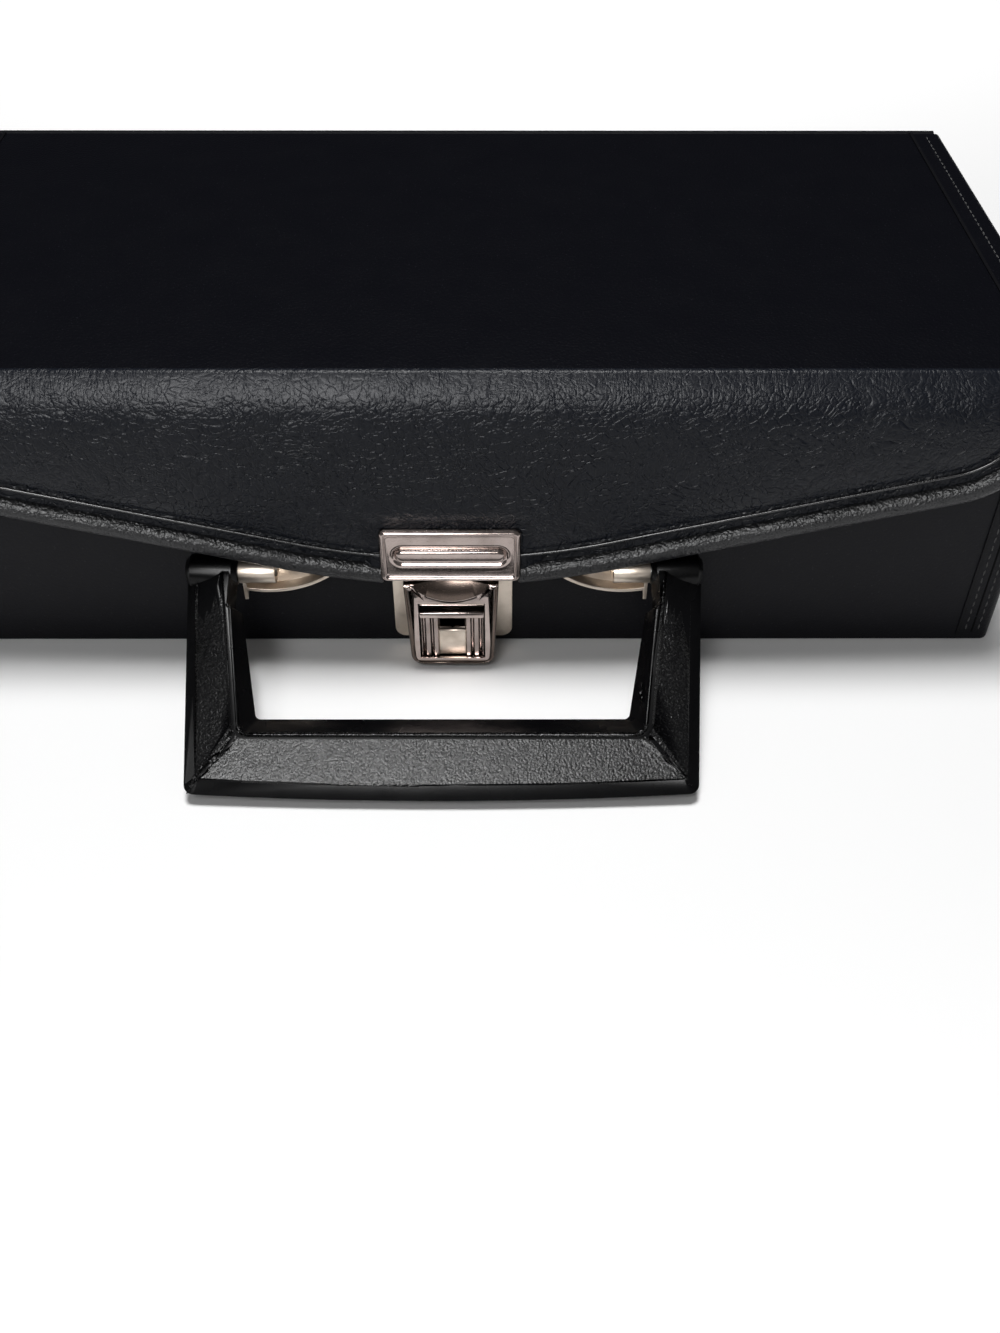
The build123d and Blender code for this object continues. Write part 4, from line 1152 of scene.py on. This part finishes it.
        def place(column: int, row: int) -> Vector:
            """Place of a crossing of the tube.

            Args:
                column: The crossing's column.
                row: Its row.

            Returns:
                The place.
            """
            share, angle = column / along, row / around * math.tau
            walk = start + (end - start) * share
            x, up = shape.edge_point(walk, inset)
            to_edge = Vector(shape.edge_point(walk, inset - MM)) - Vector((x, up))
            to_edge.normalize()
            length = abs(end - start)
            ends = clamped(min(share * length / self.blunt_end, (1 - share) * length / radius))
            girth = radius * math.sqrt(max(0.0, 1 - (1 - ends) ** 2))
            if gathered:
                way = abs(walk) / MM
                ring = Vector((math.cos(angle), math.sin(angle), 0))
                slow = noise.noise(Vector((way * 0.11, ring.x * 0.5, ring.y * 0.5)))
                aslant = Vector((way * 0.42 + ring.y * 0.8, ring.x * 0.55, ring.y * 0.55))
                tuck = crease_line(aslant, 2.6)
                fine = crease_line(Vector((way * 0.95, ring.x * 1.3 + 3, ring.y * 1.3)), 2.6)
                girth *= 1 + gathered * (slow * 0.02 - tuck * 0.012 - fine * 0.008)
            return shape.world(x + to_edge.x * girth * math.cos(angle),
                               up + to_edge.y * girth * math.cos(angle),
                               out + girth * math.sin(angle))

        piece = self.patch(name, along, around, place)
        sew(piece)
        return settle(piece, 70.0)

    def foam(self) -> Mesh:
        """The foam under the face, which ends inside the seam.

        Returns:
            The foam.
        """
        shape = self.shape
        rings = []
        steps = self.foam_steps
        walks = [shape.corner_end * (2 * step / steps - 1) for step in range(steps + 1)]
        for inset, out, top in self.foam_rings:
            ring = [Vector((*shape.edge_point(walk, inset * MM), out * MM)) for walk in walks]
            corners = [Vector((end.x, top * MM, out * MM)) for end in (ring[-1], ring[0])]
            rings.append(ring + corners)
        return settle(ring_form("foam_pad", rings, shape.frame(0, 0)))

    def build(self, finishes: Finishes) -> None:
        """Make the skin, the foam, the piping and the rolls; the foam, piping and rolls ride on
        the flap, the skin on no body.

        Args:
            finishes: Every finish of the case.
        """
        shape = self.shape
        sheet = self.skin_sheet()
        sheet.data.materials.append(finishes.flap.material())
        sheet.data.materials.append(finishes.lid.material())
        # The lid's part of the one sheet takes the darker lid copy of the vinyl: painted shade on
        # the lid top.
        for face in sheet.data.polygons:
            on_lid = face.center.y > self.lid_from[0] and face.center.z > self.lid_from[1]
            face.material_index = 1 if on_lid else 0
        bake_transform(sheet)
        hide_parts("lid_cover", "flap_cover", "fold_roll")
        log.info("%s: %d faces", sheet.name, len(sheet.data.polygons))
        foam = fit(self.foam(), Body.FLAP, Slot.PADDING, finishes.foam.material(), "flap_foam")
        roll_material, cord_material = finishes.roll.material(), finishes.cord.material()
        middle_radius = shape.tip_radius - shape.roll_radius
        start = shape.tip_radius * math.asin(self.roll_start / middle_radius)
        stop = shape.corner_end + shape.side - self.roll_stop
        for side, word in ((-1, "left"), (1, "right")):
            roll = self.tube(f"{word}_edge_roll", side * start, side * stop,
                             shape.roll_radius, 0.0, shape.roll_radius, (520, 40), 1.0)
            fit(roll, Body.FLAP, Slot.VINYL, roll_material, "flap_roll")
            piping = self.tube(f"{word}_piping", side * start, side * stop, self.piping_in,
                               self.panel_out + 0.3 * MM, self.piping_radius, (300, 12), 0.0)
            fit(piping, Body.FLAP, Slot.CORD, cord_material, "flap_seam_cord")


@dataclass
class Catch:
    """The embossed catch plate on the flap."""

    shape: FlapShape
    width: float = 35.0 * MM
    height: float = 15.2 * MM
    above_tip: float = 2.7 * MM
    prong_up: float = 11.7 * MM
    prong_spacing: float = 26.0 * MM
    prong_size: tuple[float, float, float] = (5.0 * MM, 0.8 * MM, 5.9 * MM)
    pill: tuple[float, float] = (27.4 * MM, 4.0 * MM)
    border: tuple[tuple[float, float, float], ...] = (
        (0.3, 1.5, 0.0), (0.0, 1.6, 0.2), (0.0, 1.6, 0.5), (0.3, 1.6, 0.85), (1.1, 1.4, 1.4),
        (1.6, 1.2, 1.52), (2.3, 1.0, 1.5), (2.8, 0.9, 1.2), (3.2, 0.8, 0.92), (4.0, 0.8, 0.86))
    swage: tuple[tuple[float, float], ...] = (
        (3.2, 1.0), (2.0, 1.02), (1.3, 0.8), (0.8, 0.45), (0.3, 0.42), (-0.1, 0.7),
        (-0.6, 1.2), (-1.2, 1.45), (-2.0, 1.58), (-3.0, 1.62))

    def build(self, finishes: Finishes) -> None:
        """Emboss the plate ring by ring and add its prongs.

        Args:
            finishes: Every finish of the case.
        """
        w, h = self.width, self.height
        rings = []
        for shrink, radius, out in self.border:
            ring = rounded_ring(w - shrink * MM, h - shrink * MM, radius * MM)
            rings.append([point + Vector((0, 0, out * MM)) for point in ring])
        for grow, out in self.swage:
            height = self.pill[1] + grow * MM
            ring = rounded_ring(self.pill[0] + grow * MM, height, height * 0.499)
            rings.append([point + Vector((0, 0, out * MM)) for point in ring])
        middle = -self.shape.drop + self.above_tip + h / 2
        plate = ring_form("catch_face", rings, self.shape.frame(middle, self.shape.fold_radius))
        prongs = []
        for side in (-1, 1):
            prong = cube("prong")
            place = self.shape.frame(middle - h / 2 + self.prong_up, -0.5 * MM)
            aside = Matrix.Translation((side * self.prong_spacing / 2, 0, 0))
            prong.matrix_world = place @ aside @ Matrix.Diagonal((*self.prong_size, 1))
            edge = prong.modifiers.new("edges", "BEVEL")
            edge.width = 0.15
            edge.segments = 2
            prongs.append(settle(prong))
        whole = join("catch_face", [settle(plate, 50.0), *prongs])
        fit(whole, Body.FLAP, Slot.PLATED, finishes.plated.material(), "catch_plate")


@dataclass
class Stitching:
    """Rows of thread along the borders of the lid and the walls."""

    pitch: float = 2.6 * MM
    length: float = 1.9 * MM
    radius: float = 0.22 * MM
    lid_x: float = 140.3 * MM
    wall_x: tuple[float, ...] = (138.0 * MM, 141.4 * MM)
    groove_shade_x: float = 139.8 * MM
    groove_shade_size: tuple[float, float] = (0.5 * MM, 0.12 * MM)
    lid_margin: float = 2 * MM
    wall_margin: float = 1.5 * MM
    groove_shade_margin: float = 1 * MM

    def row(self, name: str, start: Vector, end: Vector) -> Mesh:
        """Lay stitches in a line.

        Args:
            name: The row's name.
            start: Where it starts, on the surface.
            end: Where it ends.

        Returns:
            One object with every stitch of the row.
        """
        run = end - start
        count = int(run.length / self.pitch)
        turn = Vector((0, 0, 1)).rotation_difference(run).to_matrix().to_4x4()
        clear_selection()
        bpy.ops.mesh.primitive_uv_sphere_add(segments=8, ring_count=6, radius=1.0)
        first = bpy.context.object
        with editing(first) as mesh:
            for vert in mesh.verts:
                bulge = 0.65 + 0.35 * math.cos(vert.co.z * math.pi / 2)
                vert.co = (vert.co.x * self.radius * bulge, vert.co.y * self.radius * bulge,
                           vert.co.z * self.length / 2)
        stitches = []
        for step in range(count):
            stitch = first if step == count - 1 else first.copy()
            if stitch is not first:
                stitch.data = first.data.copy()
                bpy.context.scene.collection.objects.link(stitch)
            spot = start + run * ((step + 0.5) / count)
            slant = Matrix.Rotation(math.radians(4 if step % 2 else -3), 4, "Y")
            stitch.matrix_world = Matrix.Translation(spot) @ turn @ slant
            stitches.append(stitch)
        return settle(join(name, stitches), 80.0)

    def groove_shade(self, name: str, low: Vector, high: Vector) -> Mesh:
        """A near-black strip between the stitches: painted shade that stands in for the groove
        there.

        Args:
            name: The strip's name.
            low: Its lowest corner.
            high: Its highest corner.

        Returns:
            The strip.
        """
        strip = cube(name)
        with editing(strip) as mesh:
            for vert in mesh.verts:
                vert.co = Vector(low[n] if vert.co[n] < 0 else high[n] for n in range(3))
            bpy.ops.mesh.select_all(action="SELECT")
            bpy.ops.mesh.bevel(offset=0.04 * MM, segments=2)
        return settle(strip)

    def build(self, finishes: Finishes) -> None:
        """Stitch both borders of the lid and of the front and back walls.

        Args:
            finishes: Every finish of the case.
        """
        thread, dark = finishes.thread.material(), finishes.groove_shade.material()
        lid_low, lid_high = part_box("right_lid_border")
        wall_low, wall_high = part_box("right_end_cover")
        half_width, half_depth = self.groove_shade_size[0] / 2, self.groove_shade_size[1] / 2
        for side, word in ((-1, "left"), (1, "right")):
            x = side * self.lid_x
            row = self.row(f"{word}_lid_stitches",
                           Vector((x, lid_low.y + self.lid_margin, lid_high.z)),
                           Vector((x, lid_high.y - self.lid_margin, lid_high.z)))
            fit(row, Body.LID, Slot.CORD, thread)
            for wall, y in (("front", wall_low.y), ("back", wall_high.y)):
                low, high = wall_low.z + self.wall_margin, wall_high.z - self.wall_margin
                rows = [self.row("row", Vector((side * x, y, low)), Vector((side * x, y, high)))
                        for x in self.wall_x]
                fit(join(f"{word}_{wall}_stitches", rows), Body.CASE, Slot.CORD, thread)
                # Painted shade: a near-black strip along the groove between the two stitch rows.
                low, high = wall_low.z + self.groove_shade_margin, wall_high.z - self.groove_shade_margin
                x = side * self.groove_shade_x
                edge = self.groove_shade(f"{word}_{wall}_lap",
                                Vector((x - half_width, y - half_depth, low)),
                                Vector((x + half_width, y + half_depth, high)))
                fit(edge, Body.CASE, Slot.VINYL, dark)


@dataclass
class Lock:
    """The slide lock and the plated parts round it."""

    frame: dict
    lip: float = 4.6 * MM
    lip_thickness: float = 1.8 * MM
    pocket: float = 5.7 * MM
    ramp_half_width: float = 3.6 * MM
    window_half_width: float = 8.5 * MM
    rim: float = 0.7 * MM
    rim_top: float = 3.0 * MM
    rim_area: float = 60 * MM**2
    scoop_low: float = 23.6 * MM

    def build(self, finishes: Finishes) -> None:
        """Break the edges of the plated parts and dress them.

        Args:
            finishes: Every finish of the case.
        """
        plated = finishes.plated.material()
        sheet = finishes.plate.material()
        for node, bevel, material, body in (
                ("lock_housing", 0.35, plated, Body.CASE),
                ("lock_base_plate", 0.22, sheet, Body.CASE),
                ("lock_slider", 0.3, plated, Body.LOCK),
                ("catch_staple", 0.15, sheet, Body.FLAP),
                ("left_bracket", 0.22, sheet, Body.CASE),
                ("right_bracket", 0.22, sheet, Body.CASE)):
            piece = softened_copy(self.frame, node, f"{node}_form", bevel * MM)
            if node == "lock_slider":
                self.dress_slider(piece, material, sheet, finishes.recess_shade.material())
            if node == "lock_housing":
                self.dress_housing(piece, material, finishes.shade.material())
            fit(piece, body, Slot.PLATED, material, node)

    def dress_housing(self, piece: Mesh, plated: bpy.types.Material,
                      shade: bpy.types.Material) -> None:
        """Paint shade on the housing: its flanks, its lower rim and its thumb scoop take the dark
        plating.

        Args:
            piece: The housing.
            plated: Its bright plating.
            shade: The dark plating that paints the shade.
        """
        piece.data.materials.append(plated)
        piece.data.materials.append(shade)
        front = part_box("lock_housing")[0].y
        with editing(piece) as mesh:
            bpy.ops.mesh.select_mode(type="FACE")
            bpy.ops.mesh.select_all(action="DESELECT")
            for face in mesh.faces:
                if face.normal.y < -0.97 and face.calc_center_median().y < front + 0.2 * MM:
                    face.select_set(True)
            bpy.ops.mesh.inset(thickness=self.rim, depth=0.0)
        # Painted shade: faces turned sideways or down, the narrow rim round the front face and the
        # thumb scoop take the dark plating.
        for face in piece.data.polygons:
            turned_away = abs(face.normal.x) > 0.3 or face.normal.z < -0.3
            outside = (abs(face.center.x) > self.window_half_width + self.rim
                       or face.center.z < self.rim_top)
            narrow = face.area < self.rim_area and outside and face.center.z < self.scoop_low
            scoop = (face.center.z > self.scoop_low and abs(face.center.x) < self.window_half_width
                     and face.center.y > front + 0.25 * MM)
            face.material_index = 1 if turned_away or narrow or scoop else 0

    def dress_slider(self, piece: Mesh, plated: bpy.types.Material, sheet: bpy.types.Material,
                     pocket_shade: bpy.types.Material) -> None:
        """Give the slider's ramp the sheet's finish, with painted light above the lip and painted
        shade in the pocket.

        Args:
            piece: The slider.
            plated: Its bright plating.
            sheet: The ramp's finish, also the lighter finish that paints light above the lip.
            pocket_shade: The near-black plating that paints shade in the pocket.
        """
        for material in (plated, sheet, pocket_shade):
            piece.data.materials.append(material)
        pocket_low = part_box("lock_slider")[1].z - self.lip - self.pocket
        for face in piece.data.polygons:
            # Painted light: the faces above the lip take the lighter sheet finish, to lift the
            # shaded gap under the window's top.
            if face.center.z > pocket_low + self.pocket + self.lip_thickness + 0.1 * MM:
                face.material_index = 1
            elif abs(face.center.x) < self.ramp_half_width:
                if face.center.z < pocket_low + 0.1 * MM:
                    face.material_index = 1
                # Painted shade: the pocket's faces take the near-black plating.
                elif face.center.z < pocket_low + self.pocket:
                    face.material_index = 2


@dataclass
class Handle:
    """The bail handle: sloping textured faces between polished bevels."""

    frame: dict
    tilt: float = math.radians(24.93)
    bevel: float = 0.25 * MM
    ear_reach: float = 11.0 * MM
    polished: float = 0.55 * MM
    slopes: tuple[float, float] = (0.915, 0.996)

    def build(self, finishes: Finishes) -> None:
        """Copy the solid, tell its faces apart by their slope, and break its edges.

        Args:
            finishes: Every finish of the case.
        """
        pins_low, pins_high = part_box("handle_pins")
        pivot = (pins_low + pins_high) / 2
        out = Vector((0, -math.sin(self.tilt), math.cos(self.tilt)))
        along = Vector((0, -math.cos(self.tilt), -math.sin(self.tilt)))
        piece = softened_copy(self.frame, "handle", "handle_form", self.bevel, 3, 14.0)
        piece.data.materials.append(finishes.gloss.material())
        piece.data.materials.append(finishes.texture.material())
        for face in piece.data.polygons:
            slope = face.normal.dot(out)
            far = (face.center - pivot).dot(along)
            sloping = self.slopes[0] < slope < self.slopes[1]
            face.material_index = 1 if sloping and far > self.ear_reach else 0
        self.polish_rims(piece)
        fit(piece, Body.HANDLE, Slot.HANDLE, piece.data.materials[0], "handle")

    def polish_rims(self, piece: Mesh) -> None:
        """Leave a polished rim round each textured face.

        Args:
            piece: The handle.
        """
        with editing(piece) as mesh:
            bpy.ops.mesh.select_mode(type="FACE")
            for low, high in ((-1.0, -0.1), (-0.1, 0.1), (0.1, 1.0)):
                bpy.ops.mesh.select_all(action="DESELECT")
                for face in mesh.faces:
                    if face.material_index == 1 and low <= face.normal.x < high:
                        face.select_set(True)
                bpy.ops.mesh.inset(thickness=self.polished, depth=0.0, use_even_offset=False)
                for face in mesh.faces:
                    textured = face.material_index == 1 and low <= face.normal.x < high
                    if textured and not face.select:
                        face.material_index = 0


@dataclass
class CoveredBox:
    """The nodes that keep their own shape and only get a finish."""

    frame: dict
    walls: tuple[str, ...] = ("front_cover", "back_cover", "bottom_cover", "left_end_cover",
                              "right_end_cover")
    borders: tuple[str, ...] = ("left_lid_border", "right_lid_border")
    cords: tuple[str, ...] = ("body_seam_cords", "lid_seam_cords")
    boards: tuple[str, ...] = ("bottom_board", "lid_board", "flap_board")
    rims: tuple[str, ...] = ("front_board", "back_board", "left_end_board", "right_end_board")
    linings: tuple[str, ...] = ("body_lining", "lid_lining", "flap_lining")
    trays: tuple[str, ...] = ("cassette_tray", "slot_dividers")
    steels: tuple[str, ...] = ("lock_back_plate", "bracket_back_plates", "catch_back_plate",
                               "detent_spring", "latch_bolt", "lock_rivets", "bracket_rivets",
                               "handle_pins")

    def build(self, finishes: Finishes) -> None:
        """Give every node that still shows its finish.

        Args:
            finishes: Every finish of the case.
        """
        for nodes, finish in (
                (self.walls, finishes.wall), (self.borders, finishes.lid),
                (self.cords, finishes.seam), (self.boards, finishes.board),
                (self.rims, finishes.rim), (self.linings, finishes.lining),
                (self.trays, finishes.tray), (self.steels, finishes.steel),
                # The slider's rivet takes the near-black plating that paints the pocket's shade.
                (("hinge_roll",), finishes.hinge), (("slider_rivet",), finishes.recess_shade)):
            material = finish.material()
            for node in nodes:
                mesh = self.frame["nodes"][node].data
                mesh.materials.clear()
                mesh.materials.append(material)
            log.info("%s: %d nodes", material.name, len(nodes))


# ---------------------------------------------------------------- the studio
@dataclass
class Studio:
    """The pale floor, the lamps and the camera."""

    lens: float = 36 * 1300.96 / 1333
    camera_place: tuple[float, float, float] = (0.01139, -0.32806, 0.24009)
    camera_turn: tuple[float, float, float] = (math.radians(46.053), -0.001541, -0.002413)
    sky: float = 0.12
    sky_behind: float = 0.015
    sky_step: tuple[float, float] = (-0.1, 0.45)
    far_glow: float = 0.34
    glow_step: tuple[float, float] = (0.09, 0.5)
    floor_size: float = 12.0
    aim: tuple[float, float, float] = (0, -0.05, 0.03)
    lamps: tuple[tuple[str, tuple[float, float, float], float, float, bool], ...] = (
        ("overhead_lamp", (-0.03, 0.01, 1.25), 0.34, 14.0, True),
        ("fill_lamp", (-0.30, -0.85, 1.05), 0.4, 2.6, True),
        ("front_card", (-0.22, -0.99, 0.79), 0.46, 13.0, False))

    def floor(self) -> None:
        """Lay the floor: white and matt, with a little light of its own away from the case."""
        clear_selection()
        bpy.ops.mesh.primitive_plane_add(size=self.floor_size, location=(0, 0, 0))
        floor = bpy.context.object
        floor.name = "floor"
        paint = Paint("studio_floor", {"Base Color": (0.92, 0.92, 0.92, 1.0), "Roughness": 0.9,
                                       "Specular IOR Level": 0.1, "Emission Strength": 1.0})
        rays = paint.node("ShaderNodeLightPath", {}, {})
        camera, glossy, through = (
            Number(paint, rays.outputs[f"Is {kind} Ray"])
            for kind in ("Camera", "Glossy", "Transmission"))
        away = abs(paint.along("Y")).between(*self.glow_step) * self.far_glow
        glow = (camera + glossy + through) * away
        paint.feed("Emission Color", paint.blend(glow, (0.0, 0.0, 0.0), (1.0, 1.0, 1.0)))
        floor.data.materials.append(paint.material)

    def lights(self) -> None:
        """Hang the soft lamps, and a dim sky that is darker behind the case."""
        for name, place, size, power, lights_matt in self.lamps:
            clear_selection()
            bpy.ops.object.light_add(type="AREA", location=place)
            lamp = bpy.context.object
            lamp.name = name
            lamp.data.energy = power
            lamp.data.size = size
            lamp.visible_diffuse = lights_matt
            aim = Vector(self.aim) - lamp.location
            lamp.rotation_euler = aim.to_track_quat("-Z", "Y").to_euler()
        world = bpy.data.worlds.new("studio_sky")
        world.use_nodes = True
        tree = world.node_tree
        spot = tree.nodes.new("ShaderNodeTexCoord")
        parts = tree.nodes.new("ShaderNodeSeparateXYZ")
        tree.links.new(spot.outputs["Generated"], parts.inputs[0])
        step = tree.nodes.new("ShaderNodeMapRange")
        step.interpolation_type = "SMOOTHSTEP"
        tree.links.new(parts.outputs["Y"], step.inputs["Value"])
        for socket, value in zip(("From Min", "From Max", "To Min", "To Max"),
                                 (*self.sky_step, self.sky, self.sky_behind)):
            step.inputs[socket].default_value = value
        tree.links.new(step.outputs["Result"], tree.nodes["Background"].inputs["Strength"])
        tree.nodes["Background"].inputs["Color"].default_value = (1.0, 1.0, 1.0, 1.0)
        bpy.context.scene.world = world

    def camera(self) -> None:
        """Set up the camera."""
        data = bpy.data.cameras.new("camera")
        data.lens = self.lens
        data.sensor_width = 36
        data.clip_start = 0.01
        data.clip_end = 50
        eye = bpy.data.objects.new("camera", data)
        bpy.context.scene.collection.objects.link(eye)
        eye.location = self.camera_place
        eye.rotation_euler = self.camera_turn
        bpy.context.scene.camera = eye

    def build(self) -> None:
        """Set up the whole studio."""
        self.floor()
        self.lights()
        self.camera()
        bpy.context.scene.view_settings.view_transform = "Standard"


def main() -> None:
    """Build the dressed case round the frame, part by part."""
    logging.basicConfig(level=logging.INFO, format="%(name)s: %(message)s")
    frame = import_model()
    finishes = Finishes()
    shape = FlapShape()
    parts = (CoveredBox(frame), PaddedFlap(shape), Catch(shape), Stitching(), Lock(frame),
             Handle(frame))
    for part in parts:
        part.build(finishes)
        log.info("%s done", type(part).__name__)
    Studio().build()


if __name__ == "__main__":
    main()
